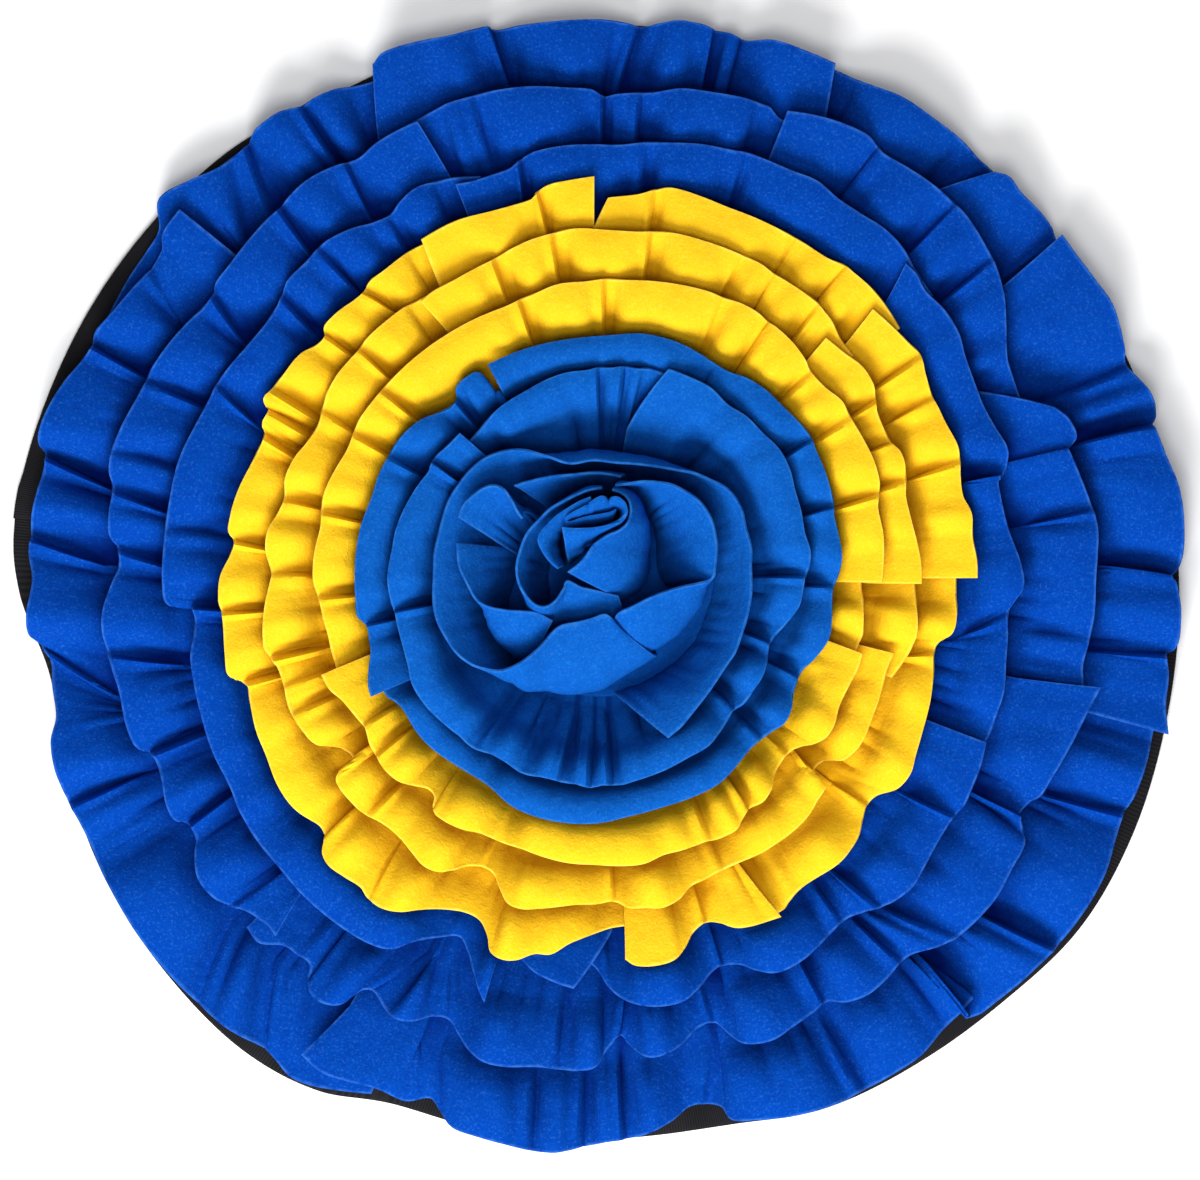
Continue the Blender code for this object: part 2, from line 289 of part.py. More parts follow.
RING_6 = {
    "strip_a": (("over", 5), ("under", 5), (
        (-.5, 121, .85, 0), (4, 122, .80, 0), (9, 123, .80, 0), (14, 123, .75, 0),
        (17, 125, .45, 0), (19.3, 127, .80, 0), (23.5, 128, .85, 0), (28.5, 128, .75, 0),
        (33, 128, .45, 0), (36.5, 129, .80, 0), (40.5, 127, .75, 0), (44.5, 127, .40, .5),
        (47, 129, .80, 0), (51, 131, .85, 0), (55, 132, .80, 0), (57, 132, .25, 0),
        (59.5, 133, .75, 0), (63, 133, .80, 0), (66.3, 132, .40, 0), (69.5, 132, .80, 0),
        (75, 131, .85, 0), (80, 130, .80, 0), (85, 129, .80, 0), (89, 129, .45, 0),
        (93, 128, .80, 0), (98, 128, .80, 0), (102.5, 126, .75, 0), (106, 125, .40, 0),
        (109.5, 124, .80, 0), (115, 124, .85, 0), (122, 124, .85, 0), (130, 124, .85, 0),
        (136, 124, .80, 0), (139, 124, .40, 0), (142.5, 124, .80, 0), (146.3, 124, .75, 0),
        (149.3, 123, .35, 0), (153, 122, .70, 0), (157.5, 123, .80, 0), (162.5, 124, .85, 0),
        (166.3, 123, .35, 0), (169.7, 122, .75, 0), (175, 123, .80, 0), (180, 123, .80, 0),
        (183.5, 121, .40, 0), (187, 120, .75, 0), (191.5, 119, .70, 0), (195, 119, .40, 0),
        (198.5, 119, .20, 0), (203, 119, .15, 0))),
    "strip_b": (("over", 5), ("over", 5), (
        (198.8, 126, .85, -1), (202, 125, .80, 0), (205, 122, .80, 0), (209, 120, .70, 0),
        (212, 119, .60, 0), (215, 121, .80, 0), (218, 122, .40, 0), (221.5, 123, .80, 0),
        (225, 122, .80, 0), (227.7, 119, .50, 0), (230.5, 116, .40, 0), (232.7, 117, .50, 0),
        (234.2, 122, .35, -.8), (237, 123, .85, 0), (241, 122, .85, 0), (245, 120, .75, 0),
        (249.3, 120, .50, 0), (253.5, 120, .80, 0), (258, 121, .85, 0), (263.5, 122, .85, 0),
        (269, 122, .85, 0), (275, 123, .85, 0), (279, 123, .85, 0), (283, 121, .80, 0),
        (287.5, 121, .80, 0), (292, 121, .60, 0), (295, 122, .65, 0), (298.5, 122, .85, 0),
        (301, 119, .60, 0), (303.3, 117, .40, -.5), (306.5, 118, .75, 0), (309.3, 116, .70, 0),
        (312, 112, .45, 0), (315, 110, .20, 0), (318, 110, .15, 0), (320.3, 112, .30, -1),
        (322.3, 115, .60, -1), (325, 118, .85, 0), (328.3, 118, .90, 0), (332.3, 116, .80, 0),
        (337, 116, .85, 0), (341, 117, .85, 0), (344.3, 117, .90, 1))),
    "strip_c": (("under", 6), ("under", 6), (
        (340, 113, .15, 0), (345.3, 114, .20, 0), (348.5, 115, .60, 0), (352.5, 114, .80, 0),
        (356, 113, .50, 0), (359.5, 112, .22, 0), (364.5, 113, .15, 0))),
}
RING_7 = {
    "strip_a": (("under", 6), ("free", 0), (
        (202, 103, .15, 0), (208, 104, .20, 0), (210.5, 102, .55, 0), (214, 101, .80, 0),
        (220, 102, .85, 0), (225, 102, .80, 0), (230, 101, .75, 0), (236, 100, .65, 0),
        (241, 100, .65, 0), (245, 102, .80, 0), (249, 104, .85, 0), (255, 105, .85, 0),
        (262, 105, .85, 0), (270, 104, .85, 0), (277, 102, .80, 0), (285, 101, .80, 0),
        (292, 101, .85, 0), (300, 101, .85, 0), (306, 99, .80, 0), (311, 97, .65, 0),
        (315, 97, .50, 0), (318.5, 98, .60, 0), (322, 100, .85, 0), (326, 99, .80, 0),
        (329.5, 96, .60, 0), (332.7, 95, .35, 0), (336, 95, .40, 0), (340, 98, .80, 0),
        (345, 101, .85, 0), (349, 101, .85, 0), (354, 100, .70, 0), (358, 100, .45, 0),
        (361, 102, .60, 0), (365, 104, .85, 0), (370, 104, .85, 0), (375, 104, .70, 0),
        (377.3, 105, .40, 0), (380.5, 106, .80, 0), (386, 107, .85, 0), (391, 108, .75, 0),
        (393.5, 109, .45, 0), (397, 109, .85, 0), (403, 108, .85, 0), (409, 108, .85, 0),
        (414, 107, .75, 0), (418, 105, .70, 0), (422, 105, .55, 0), (426.5, 106, .75, 0),
        (432, 107, .85, 0), (440, 107, .85, 0), (447, 105, .85, 0), (455, 104, .85, 0),
        (465, 104, .85, 0), (472, 104, .85, 0), (477.5, 104, .90, 0))),
    "strip_b": (("free", 0), ("over", 6), (
        (120.5, 104, .85, 0), (124, 104, .85, 0), (126.7, 103, .60, 0), (128.6, 99, .25, 0),
        (131, 98, .35, 0), (134.5, 100, .70, 0), (138.5, 103, .85, 0), (144, 105, .80, 0),
        (149.5, 105, .45, 0), (154, 105, .80, 0), (160, 104, .85, 0), (168, 105, .85, 0),
        (176, 105, .85, 0), (183, 105, .85, 0), (188.5, 105, .75, 0), (190.9, 102, .35, 0),
        (194, 102, .60, 0), (197.5, 103, .80, 0), (201, 106, .85, 0), (204.5, 109, .90, 0),
        (207, 110, .90, 1))),
}
RING_8 = {
    "strip_a": (("over", 6), ("over", 11), (
        (133.6, 87, .90, -1.5), (138, 87, .85, 0), (142.5, 88, .80, 0), (145, 88, .35, 1),
        (148, 87, .70, 0), (153, 88, .80, 0), (159, 89, .85, 0), (166, 90, .85, 0),
        (172, 90, .85, 0), (180, 91, .85, 0), (186, 90, .80, 0), (188.7, 89, .40, 0),
        (192.5, 89, .75, 0), (198, 89, .85, 0), (204, 90, .85, 0), (209, 92, .85, 0),
        (216, 92, .85, 0), (222, 91, .85, 0), (228, 90, .85, 0), (233, 90, .60, 0),
        (238, 88, .75, 0), (243, 88, .75, 0), (248, 89, .60, 0), (254, 88, .85, 0),
        (258.5, 88, .50, 0), (263, 88, .85, 0), (267, 89, .65, 0), (270, 88, .80, 0),
        (273, 88, .55, 0), (277, 88, .85, 0), (282, 87, .85, 0), (289, 86, .85, 0),
        (296, 85, .85, 0), (303, 85, .80, 0), (308, 83, .70, 0), (312.5, 81, .55, 0),
        (316, 80, .45, 0), (319, 81, .55, 0), (324, 81, .80, 0), (329, 81, .85, 0),
        (333.3, 80, .75, 0), (337, 78, .45, 0), (341, 78, .40, 0), (344.5, 80, .55, 0),
        (348.3, 83, .75, 0), (352.5, 86, .85, 0), (357, 87, .85, 0), (361, 88, .55, 0),
        (364, 90, .80, 0), (368, 91, .85, 0), (373, 90, .85, 0), (379, 91, .85, 0),
        (385, 92, .85, 0), (390, 94, .85, 0), (396, 95, .85, 0), (402, 94, .75, 0),
        (408, 94, .80, 0), (414, 93, .75, 0), (420, 95, .85, 1), (426, 95, .85, 3),
        (432, 95, .90, 7))),
    "strip_b": (("under", 14), ("under", 7), (
        (64, 91, .15, 4), (70, 92, .20, 4), (76, 93, .50, 3), (80, 92, .80, 1),
        (83.5, 92, .50, 0), (87, 91, .80, 0), (90.5, 91, .55, 0), (94, 90, .80, 0),
        (99, 90, .80, 0), (104, 89, .85, 0), (111, 87, .85, 0), (117, 86, .85, 0),
        (122, 85, .80, 0), (127, 83, .50, 0), (131, 82, .25, 0), (137.5, 81, .15, 0))),
}

# The rosette's petals, from the outside in. Each row is one column of the petal:
#   east, north, height      where its free edge is, from the mat's centre and from the floor
#   seam_east, seam_north    where it is sewn down
ROSETTE = {
    "rose_wrap": (
        (29.5, -68, 35, 5, -48), (36, -61.5, 37, 13.5, -46), (43, -53, 38, 21.5, -42),
        (52, -40, 38, 31, -34), (59, -28, 38, 38.5, -25), (63, -17, 38, 43, -14),
        (65, -4, 38, 46, -5), (65, 8, 38, 45, 6), (63.5, 20, 38, 42.5, 14),
        (60.5, 31, 38, 39.5, 21), (54.5, 39.5, 38, 35.5, 28), (46, 43.8, 38, 30, 34),
        (36, 46.5, 39, 24, 38.5), (24, 48.8, 39, 17, 41), (10, 50, 40, 8, 42),
        (-2, 51.2, 39, -2, 42), (-13, 50.2, 38, -11, 42), (-22, 53, 37, -17.5, 41),
        (-32, 55.5, 36, -23.5, 39.5), (-41, 55, 36, -28.5, 36.5), (-50, 52, 36, -33, 32.5),
        (-58, 45, 36, -37, 28), (-66, 32, 36, -41.5, 20.5), (-70, 17, 36.5, -45, 11),
        (-71.5, 3, 37, -46.3, 2), (-71.5, -10, 37, -46, -7.5), (-69, -20, 37, -43.5, -16.5),
        (-63, -29.5, 38, -39.5, -24.5), (-55, -36, 39, -36.5, -29), (-47, -38.7, 40, -34, -32),
        (-40, -38.5, 41, -31, -35), (-33, -35, 42, -27.5, -37.5), (-27, -30, 42, -23.5, -40),
        (-22, -24, 41.5, -19, -42), (-17, -19.5, 41, -14, -43.5), (-10, -18, 40.5, -8, -43.5),
        (-3, -16.5, 40, 1.5, -41.5), (1.5, -15.8, 40, 9.5, -37.5), (4.5, -16, 40, 16.5, -33.5),
        (6.5, -18.5, 38, 22, -30.5)),
    "rose_petal_low": (
        (-62, 16, 37, -37, 14), (-61, 9, 38, -38, 9), (-59, 2, 39, -38, 4),
        (-55, -5, 40, -39, -1), (-51, -9.5, 41, -40, -6), (-46, -11.5, 41, -40.5, -10.5),
        (-40, -12, 41, -38.5, -15.5), (-32, -13, 41, -35.5, -20.5), (-26, -14, 40, -31.5, -24),
        (-18, -18.5, 33, -25, -26)),
    "rose_petal_high": (
        (-33, 26.5, 42, -23.5, 26.5), (-35.5, 29.5, 43, -25, 25.5), (-38, 34.5, 43, -27, 24),
        (-41, 39, 43, -29, 22), (-46, 40.5, 43, -31, 20), (-52, 38.5, 43, -32.5, 17),
        (-58, 33, 43, -33, 13), (-61, 27, 43, -33, 9)),
    "rose_petal_back": (
        (4, 47.3, 42, 3, 35.5), (-4, 47.3, 42, -3, 36), (-12, 46, 42, -10, 35),
        (-22, 43.5, 42, -16, 33), (-30, 41.5, 42, -19.5, 31.5), (-36, 40, 42, -21.5, 30)),
    "rose_petal_right": (
        (8.5, -13.5, 44, 18, -24.5), (14, -10.5, 44, 25.5, -22.5), (22, -7, 44, 32, -17.5),
        (30, -4, 44, 37, -10.5), (40, -2, 43, 40.5, -4), (48, 1, 43, 39.5, 1),
        (49.5, 6, 43, 33, 5), (50, 14, 44, 27.5, 8.5), (49, 22, 44, 24, 12),
        (46.5, 29, 45, 23.5, 17), (42, 34.5, 45, 23, 21), (36, 38.7, 45, 21.5, 25),
        (28, 41.5, 45, 19.5, 29), (20, 42.5, 45, 17, 33), (13, 42, 45, 14, 36.5),
        (8, 41.5, 44, 9.5, 38)),
    "rose_bud_outer": (
        (-2, 40, 45, -1, 26.5), (-8, 38.5, 46, -6, 25.5), (-15, 35.2, 46, -11, 23.5),
        (-22, 30.2, 46, -15.5, 20), (-29.5, 22, 46, -19, 15.5), (-33.5, 15, 46, -20.5, 10.5),
        (-35.5, 7, 46, -21.5, 5), (-35, 0, 46, -22, 0), (-31.5, -5.5, 45, -21.5, -4),
        (-27, -10, 44, -20.5, -7.5), (-22.5, -10.3, 43, -20, -10), (-17.5, -7.5, 42, -17, -12.5),
        (-14, -3, 40, -12.5, -13.5), (-7, -5, 38, -6.5, -13), (1, -6.5, 36, 0, -12),
        (8, -8, 34, 4.5, -10.5)),
    "rose_bud_inner": (
        (-6, 35.3, 48, -3, 22.5), (-12.5, 31.8, 48, -7, 21), (-19.5, 27.3, 48, -12, 18),
        (-26, 19.5, 48, -16, 13), (-25.5, 14.5, 47, -16.8, 9), (-22, 8, 46, -17.3, 5),
        (-17, 3.5, 45, -16, 1)),
    "rose_bud_right": (
        (-14, 3.5, 46, 10, -6.5), (-9, 8.5, 47, 13.5, -2.5), (-6, 12, 48, 15.5, 2.5),
        (-3, 16, 48.5, 16.5, 7), (2, 19.5, 49, 17, 12), (7, 21, 49, 16.5, 16.5),
        (11, 24.5, 49, 15, 21.5), (12.5, 29, 48, 13.5, 25.5), (12.3, 33, 47, 13, 29.5),
        (11, 36, 46, 11, 33)),
    "rose_heart": (
        (-16.5, 22.5, 49, -12, 6.5), (-10, 22.3, 50, -8, 9), (-3, 22.8, 50, -4, 10.5),
        (3.5, 24.5, 50, 1, 12), (7.5, 27.5, 50, 5, 15.5), (9, 30.5, 50, 7, 19),
        (8, 33.5, 50, 6.5, 22), (5, 36, 50, 4, 22.5), (1, 36.3, 50, 1.5, 21),
        (-4, 33.5, 49.5, -1, 19.5), (-9, 30.3, 49, -4, 18.5), (-14, 26, 48, -7, 17)),
}
PETAL_OUT_BOW = 0.3     # how far along its reach an outward petal has come at two thirds of its height
PETAL_IN_BOW = 0.1      # the same for one that leans inwards
PETAL_BULGE = 20        # and how far outwards that one's middle is pushed, in mm
LEAN_SPAN = 10          # difference of reach, in mm, over which a petal turns from outward to inward
PETAL_STEPS = 3         # mesh rows across a petal

# The rings, from the outside in: seam radius, mean edge radius, rise, colour and strips
RINGS = (
    ("ring_1", 200, 247, 14, BLUE, RING_1),
    ("ring_2", 166, 212, 17, BLUE, RING_2),
    ("ring_3", 140, 184, 19, BLUE, RING_3),
    ("ring_4", 121, 163, 21, YELLOW, RING_4),
    ("ring_5", 101, 141, 24, YELLOW, RING_5),
    ("ring_6", 84, 122, 27, YELLOW, RING_6),
    ("ring_7", 71, 103, 29, INNER_BLUE, RING_7),
    ("ring_8", 53, 88, 31, INNER_BLUE, RING_8),
)
ROSETTE_SEAM, ROSETTE_EDGE, ROSETTE_RISE = 41, 72, 35


def clear_scene():
    for thing in list(bpy.data.objects):
        bpy.data.objects.remove(thing, do_unlink=True)


def cloth_material(name, colour):
    material = bpy.data.materials.new(name)
    material.use_nodes = True
    shader = material.node_tree.nodes["Principled BSDF"]
    shader.inputs["Base Color"].default_value = colour
    shader.inputs["Roughness"].default_value = 0.95
    shader.inputs["Metallic"].default_value = 0.0
    material.diffuse_color = colour
    return material


def new_object(name, points, faces, material):
    mesh = bpy.data.meshes.new(name)
    mesh.from_pydata([tuple(p) for p in np.asarray(points) * MM], [], faces)
    mesh.materials.append(material)
    for face in mesh.polygons:
        face.use_smooth = True
    thing = bpy.data.objects.new(name, mesh)
    bpy.context.scene.collection.objects.link(thing)
    return thing


def smooth_rows(rows, steps):
    """Read a table as a smooth curve through its rows, with `steps` samples from row to row."""
    table = np.array(rows, dtype=float)
    padded = np.vstack([2 * table[0] - table[1], table, 2 * table[-1] - table[-2]])
    samples = []
    for row in range(len(table) - 1):
        before, start, end, after = padded[row:row + 4]
        for step in range(steps):
            t = step / steps
            samples.append(0.5 * (2 * start + (end - before) * t
                                  + (2 * before - 5 * start + 4 * end - after) * t ** 2
                                  + (3 * start - before - 3 * end + after) * t ** 3))
    samples.append(table[-1])
    return np.array(samples)


def crown(index, radius):
    """Height of a ring's middle surface above its seam, at a radius."""
    if index < 0:
        return np.zeros_like(radius)
    seam, edge, rise = (RINGS[index][1:4] if index < len(RINGS)
                        else (ROSETTE_SEAM, ROSETTE_EDGE, ROSETTE_RISE))
    across = np.clip((radius - seam) / (edge - seam), 0, 1)
    return rise * (1 - (1 - across) ** LIFT_POWER) + FLARE * np.maximum(radius - edge, 0)


def band(index, radius):
    """Lowest and highest place for the middle of a ring's cloth, at a radius."""
    own = crown(index, radius)
    seated = np.clip((own - 1) / SEATED_RISE, 0, 1)
    low = (crown(index - 1, radius) + own) / 2 if index else own * OUTER_LOW
    high = (crown(index + 1, radius) + own) / 2
    return SEAT + low + (CLEAR - 1) * seated, SEAT + high - CLEAR


def lane(level, degrees, end_degree, lap):
    """Keep the levels near a strip's end under or over the neighbour that it laps."""
    side, extent = lap
    if side == "free":
        return level
    near = np.clip(LAP_EASE * (1 - np.abs(degrees - end_degree) / (extent + LAP_MARGIN)), 0, 1)
    limit = UNDER_LANE if side == "under" else OVER_LANE
    held = np.minimum(level, limit) if side == "under" else np.maximum(level, limit)
    return level + (held - level) * np.clip(near * 2, 0, 1)


def ruffle_grid(index, laps_and_folds, fold_steps, width_steps):
    """Middle surface of one pleated strip, as a grid of points: columns round, rows outward."""
    start_lap, end_lap, folds = laps_and_folds
    seam = RINGS[index][1]
    degrees, reach, level, lean = smooth_rows(folds, fold_steps).T
    level = np.clip(level, 0, 1)
    for end, lap in ((degrees[0], start_lap), (degrees[-1], end_lap)):
        level = lane(level, degrees, end, lap)
    over_start, over_end = (np.clip(SEAM_EASE - np.abs(degrees - end) / (lap[1] + LAP_MARGIN), 0, 1)
                            if lap[0] == "over" else 0 * degrees
                            for end, lap in ((degrees[0], start_lap), (degrees[-1], end_lap)))
    seam_level = SEAM_LANE * np.clip(2 * np.maximum(over_start, over_end), 0, 1)
    tuck_level = level ** 2 * (3 - 2 * level)
    tuck_level = np.maximum(tuck_level, seam_level * OVER_LANE / SEAM_LANE)
    rows = []
    for across in np.linspace(0, 1, width_steps + 1):
        inward = np.clip((1 - across) / (1 - TUCK), 0, LEAN_LIMIT)
        angle = np.radians(degrees + lean * inward)
        radius = seam + (reach - seam) * across
        if across < TUCK:
            share = across / TUCK
            height = seam_level + (tuck_level - seam_level) * share
        else:
            share = (across - TUCK) / (1 - TUCK)
            height = tuck_level + (level - tuck_level) * share
        low, high = band(index, radius)
        rows.append(np.stack([radius * np.cos(angle), radius * np.sin(angle),
                              low + (high - low) * height], axis=1))
    return np.array(rows)


def cloth_sheet(name, grid, material):
    """Give a grid its cloth thickness as one closed solid."""
    rows, columns = grid.shape[:2]
    faces = [(row * columns + column, (row + 1) * columns + column,
              (row + 1) * columns + column + 1, row * columns + column + 1)
             for row in range(rows - 1) for column in range(columns - 1)]
    sheet = new_object(name, grid.reshape(-1, 3), faces, material)
    thickness = sheet.modifiers.new("cloth", "SOLIDIFY")
    thickness.thickness = FLEECE * MM
    thickness.offset = 0
    return sheet


def outline_ring(inset, height):
    """Points round the base's outline, moved in by a distance, at one height."""
    turned = BASE_OUTLINE + ((360 + BASE_OUTLINE[0][0], BASE_OUTLINE[0][1]),)
    samples = smooth_rows(turned, OUTLINE_SAMPLES)
    degrees = np.arange(OUTLINE_STEPS) * 360 / OUTLINE_STEPS
    radius = np.interp(degrees, samples[:, 0], samples[:, 1]) - inset
    angle = np.radians(degrees)
    return np.stack([radius * np.cos(angle), radius * np.sin(angle),
                     np.full(OUTLINE_STEPS, float(height))], axis=1)


def bridged(first, second):
    """Faces between two rings of points, given by the number of each ring's first point."""
    return [(first + step, first + (step + 1) % OUTLINE_STEPS,
             second + (step + 1) % OUTLINE_STEPS, second + step) for step in range(OUTLINE_STEPS)]


def make_base(material):
    rim_low = TAPE_THICK + TAPE_GAP
    step_in = TAPE_WIDTH + TAPE_GAP
    edge_in = TAPE_THICK + TAPE_GAP
    profile = ((step_in, 0), (step_in, rim_low), (edge_in, rim_low),
               (edge_in, rim_low + RIM_THICK), (step_in, rim_low + RIM_THICK), (step_in, BASE_THICK))
    points = np.vstack([outline_ring(*corner) for corner in profile])
    faces = [tuple(reversed(range(OUTLINE_STEPS)))]
    for level in range(len(profile) - 1):
        faces += bridged(level * OUTLINE_STEPS, (level + 1) * OUTLINE_STEPS)
    last = (len(profile) - 1) * OUTLINE_STEPS
    faces.append(tuple(range(last, last + OUTLINE_STEPS)))
    return new_object("mat_base", points, faces, material)


def make_binding(material):
    """The tape is a U-shaped section that runs round the rim, open towards the middle."""
    low = TAPE_THICK
    high = low + RIM_THICK + 2 * TAPE_GAP
    profile = ((0, low - TAPE_THICK), (0, high + TAPE_THICK), (TAPE_WIDTH, high + TAPE_THICK),
               (TAPE_WIDTH, high), (TAPE_THICK, high), (TAPE_THICK, low), (TAPE_WIDTH, low),
               (TAPE_WIDTH, low - TAPE_THICK))
    points = np.vstack([outline_ring(*corner) for corner in profile])
    faces = []
    for corner in range(len(profile)):
        following = (corner + 1) % len(profile)
        faces += bridged(corner * OUTLINE_STEPS, following * OUTLINE_STEPS)
    return new_object("edge_binding", points, faces, material)


def petal_grid(rows, steps, across_steps):
    """Middle surface of a petal: each column bends from its seam up to the free edge."""
    samples = smooth_rows(rows, steps)
    edge, seam, height = samples[:, 0:2], samples[:, 3:5], samples[:, 2]
    seam_reach = np.linalg.norm(seam, axis=1)
    leaning_in = np.clip((seam_reach - np.linalg.norm(edge, axis=1)) / LEAN_SPAN + 0.5, 0, 1)[:, None]
    bow = PETAL_OUT_BOW + (PETAL_IN_BOW - PETAL_OUT_BOW) * leaning_in
    bulge = PETAL_BULGE * leaning_in * seam / seam_reach[:, None]
    middle = seam + bow * (edge - seam) + bulge
    middle_height = PETAL_SEAT + (height - PETAL_SEAT) * 2 / 3
    grid = []
    for across in np.linspace(0, 1, across_steps + 1):
        first, second, third = (1 - across) ** 2, 2 * across * (1 - across), across ** 2
        place = first * seam + second * middle + third * edge
        level = first * PETAL_SEAT + second * middle_height + third * height
        grid.append(np.column_stack([place, level]))
    return np.array(grid)


def make_rosette():
    for name, rows in ROSETTE.items():
        cloth_sheet(name, petal_grid(rows, FOLD_STEPS, PETAL_STEPS), cloth_material(name, INNER_BLUE))


def make_rings():
    for index, (ring, _, _, _, colour, strips) in enumerate(RINGS):
        for strip, laps_and_folds in strips.items():
            name = f"{ring}_{strip}"
            grid = ruffle_grid(index, laps_and_folds, FOLD_STEPS, WIDTH_STEPS)
            cloth_sheet(name, grid, cloth_material(name, colour))


clear_scene()
make_base(cloth_material("felt", BLACK))
make_binding(cloth_material("binding", BLACK))
make_rings()
make_rosette()
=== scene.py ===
"""Looks of a round snuffle mat: a bound felt base, eight pleated fleece rings and a rosette.

Lengths in the tables are in millimetres and angles in degrees, counter-clockwise from +X.
"""

import math

import bpy
import numpy as np
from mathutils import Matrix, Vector, noise
from mathutils.bvhtree import BVHTree


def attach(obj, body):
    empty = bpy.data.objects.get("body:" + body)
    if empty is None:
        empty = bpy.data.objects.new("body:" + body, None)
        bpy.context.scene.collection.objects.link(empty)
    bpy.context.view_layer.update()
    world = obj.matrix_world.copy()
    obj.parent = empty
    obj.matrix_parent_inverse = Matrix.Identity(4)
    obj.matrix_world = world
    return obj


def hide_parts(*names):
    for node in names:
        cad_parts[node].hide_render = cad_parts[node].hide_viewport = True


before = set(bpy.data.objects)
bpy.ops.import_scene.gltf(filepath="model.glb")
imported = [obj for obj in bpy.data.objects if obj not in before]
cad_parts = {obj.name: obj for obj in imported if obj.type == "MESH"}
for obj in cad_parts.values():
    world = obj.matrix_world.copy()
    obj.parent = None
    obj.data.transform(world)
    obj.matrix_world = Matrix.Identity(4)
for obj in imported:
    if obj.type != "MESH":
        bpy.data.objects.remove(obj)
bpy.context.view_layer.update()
bpy.ops.object.select_all(action="DESELECT")
MM = 0.001


# Base disc.
# Needle-punched black felt cut to a rough circle, its outermost rim pressed thin under the
# binding. Every ring is sewn through it, so its underside shows the rows of stitches.
BASE_THICK = 3.0
RIM_THICK = 1.4
TAPE_THICK = 0.7
TAPE_WIDTH = 15.0
TAPE_GAP = 0.3
STEP_EASE = 0.4         # chamfer where the thin rim starts
FLAT_INSETS = (220, 140, 60)    # rows of points over the flat faces, from the outline in
OUTLINE_STEPS = 360
FELT_BLACK = (0.010, 0.010, 0.012, 1)
FELT_GREY = (0.030, 0.030, 0.034, 1)
STITCH_GREY = (0.09, 0.09, 0.10, 1)
STITCH_LENGTH = 4.0
STITCH_WIDTH = 0.7
STITCH_BLUR = 0.3
SEAM_RADII = (200, 166, 140, 121, 101, 84, 71, 53)
SHEEN_ROUGHNESS = 0.6
CLOTH_SPECULAR = 0.02
FELT_RELIEF = 0.25
FELT_SHEEN = 0.2
FELT_ROUGHNESS = 0.82

# Radius of the base round its uneven outline: (deg, mm)
BASE_OUTLINE = (
    (0, 250), (15, 248), (30, 246), (45, 245), (60, 242), (75, 240), (90, 240), (105, 240),
    (118, 239), (131, 245), (145, 248), (160, 251), (174, 254), (181, 251), (190, 241),
    (200, 245), (212, 250), (223, 253), (233, 255), (241, 252), (249, 243), (262, 243),
    (275, 241), (284, 242), (293, 248), (305, 250), (314, 252), (324, 256), (334, 255),
    (346, 252))


def smooth_rows(rows, steps):
    """Read a table as a smooth curve through its rows, with `steps` samples from row to row."""
    table = np.array(rows, dtype=float)
    padded = np.vstack([2 * table[0] - table[1], table, 2 * table[-1] - table[-2]])
    spans = len(table) - 1
    before, start, end, after = (padded[shift:shift + spans, None] for shift in range(4))
    t = (np.arange(steps) / steps)[None, :, None]
    curve = 0.5 * (2 * start + (end - before) * t
                   + (2 * before - 5 * start + 4 * end - after) * t ** 2
                   + (3 * start - before - 3 * end + after) * t ** 3)
    return np.vstack([curve.reshape(-1, table.shape[1]), table[-1]])


def outline_radius(degrees):
    """Radius of the base at each angle, in mm."""
    turned = BASE_OUTLINE + ((360 + BASE_OUTLINE[0][0], BASE_OUTLINE[0][1]),)
    samples = smooth_rows(turned, 12)
    return np.interp(np.mod(degrees, 360), samples[:, 0], samples[:, 1])


def cloth_object(name, grid, material, closed_round=False):
    """A mesh of one face between each four neighbouring points of a grid given in mm."""
    rows, columns = grid.shape[:2]
    number = np.arange(rows * columns).reshape(rows, columns)
    if closed_round:
        number = np.hstack([number, number[:, :1]])
    around = (number[:-1, :-1], number[1:, :-1], number[1:, 1:], number[:-1, 1:])
    faces = np.stack(around, axis=-1).reshape(-1, 4)
    mesh = bpy.data.meshes.new(name)
    mesh.from_pydata((grid.reshape(-1, 3) * MM).tolist(), [], faces.tolist())
    mesh.materials.append(material)
    mesh.shade_smooth()
    piece = bpy.data.objects.new(name, mesh)
    bpy.context.scene.collection.objects.link(piece)
    return piece


class Strand:
    """One output of a finish's nodes. Sums and products of strands add Math nodes."""

    def __init__(self, socket):
        self.socket = socket

    def maths(self, operation, first, second=0.0, clamp=False):
        node = self.socket.id_data.nodes.new("ShaderNodeMath")
        node.operation = operation
        node.use_clamp = clamp
        join(node.inputs[0], first)
        join(node.inputs[1], second)
        return Strand(node.outputs[0])

    def __add__(self, other):
        return self.maths("ADD", self, other)

    def __sub__(self, other):
        return self.maths("SUBTRACT", self, other)

    def __rsub__(self, other):
        return self.maths("SUBTRACT", other, self)

    def __mul__(self, other):
        return self.maths("MULTIPLY", self, other)

    __radd__ = __add__
    __rmul__ = __mul__

    def __truediv__(self, other):
        return self.maths("DIVIDE", self, other)

    def size(self):
        return self.maths("ABSOLUTE", self)

    def clipped(self):
        return self.maths("ADD", self, 0.0, clamp=True)

    def below(self, limit, softness):
        """1 where the value is under the limit, 0 where it is over it by the softness."""
        return ((limit - self) / softness + 1.0).clipped()


def join(slot, value):
    """Link a strand to a node's slot, or set the slot to a plain value."""
    if isinstance(value, Strand):
        slot.id_data.links.new(value.socket, slot)
    else:
        slot.default_value = value


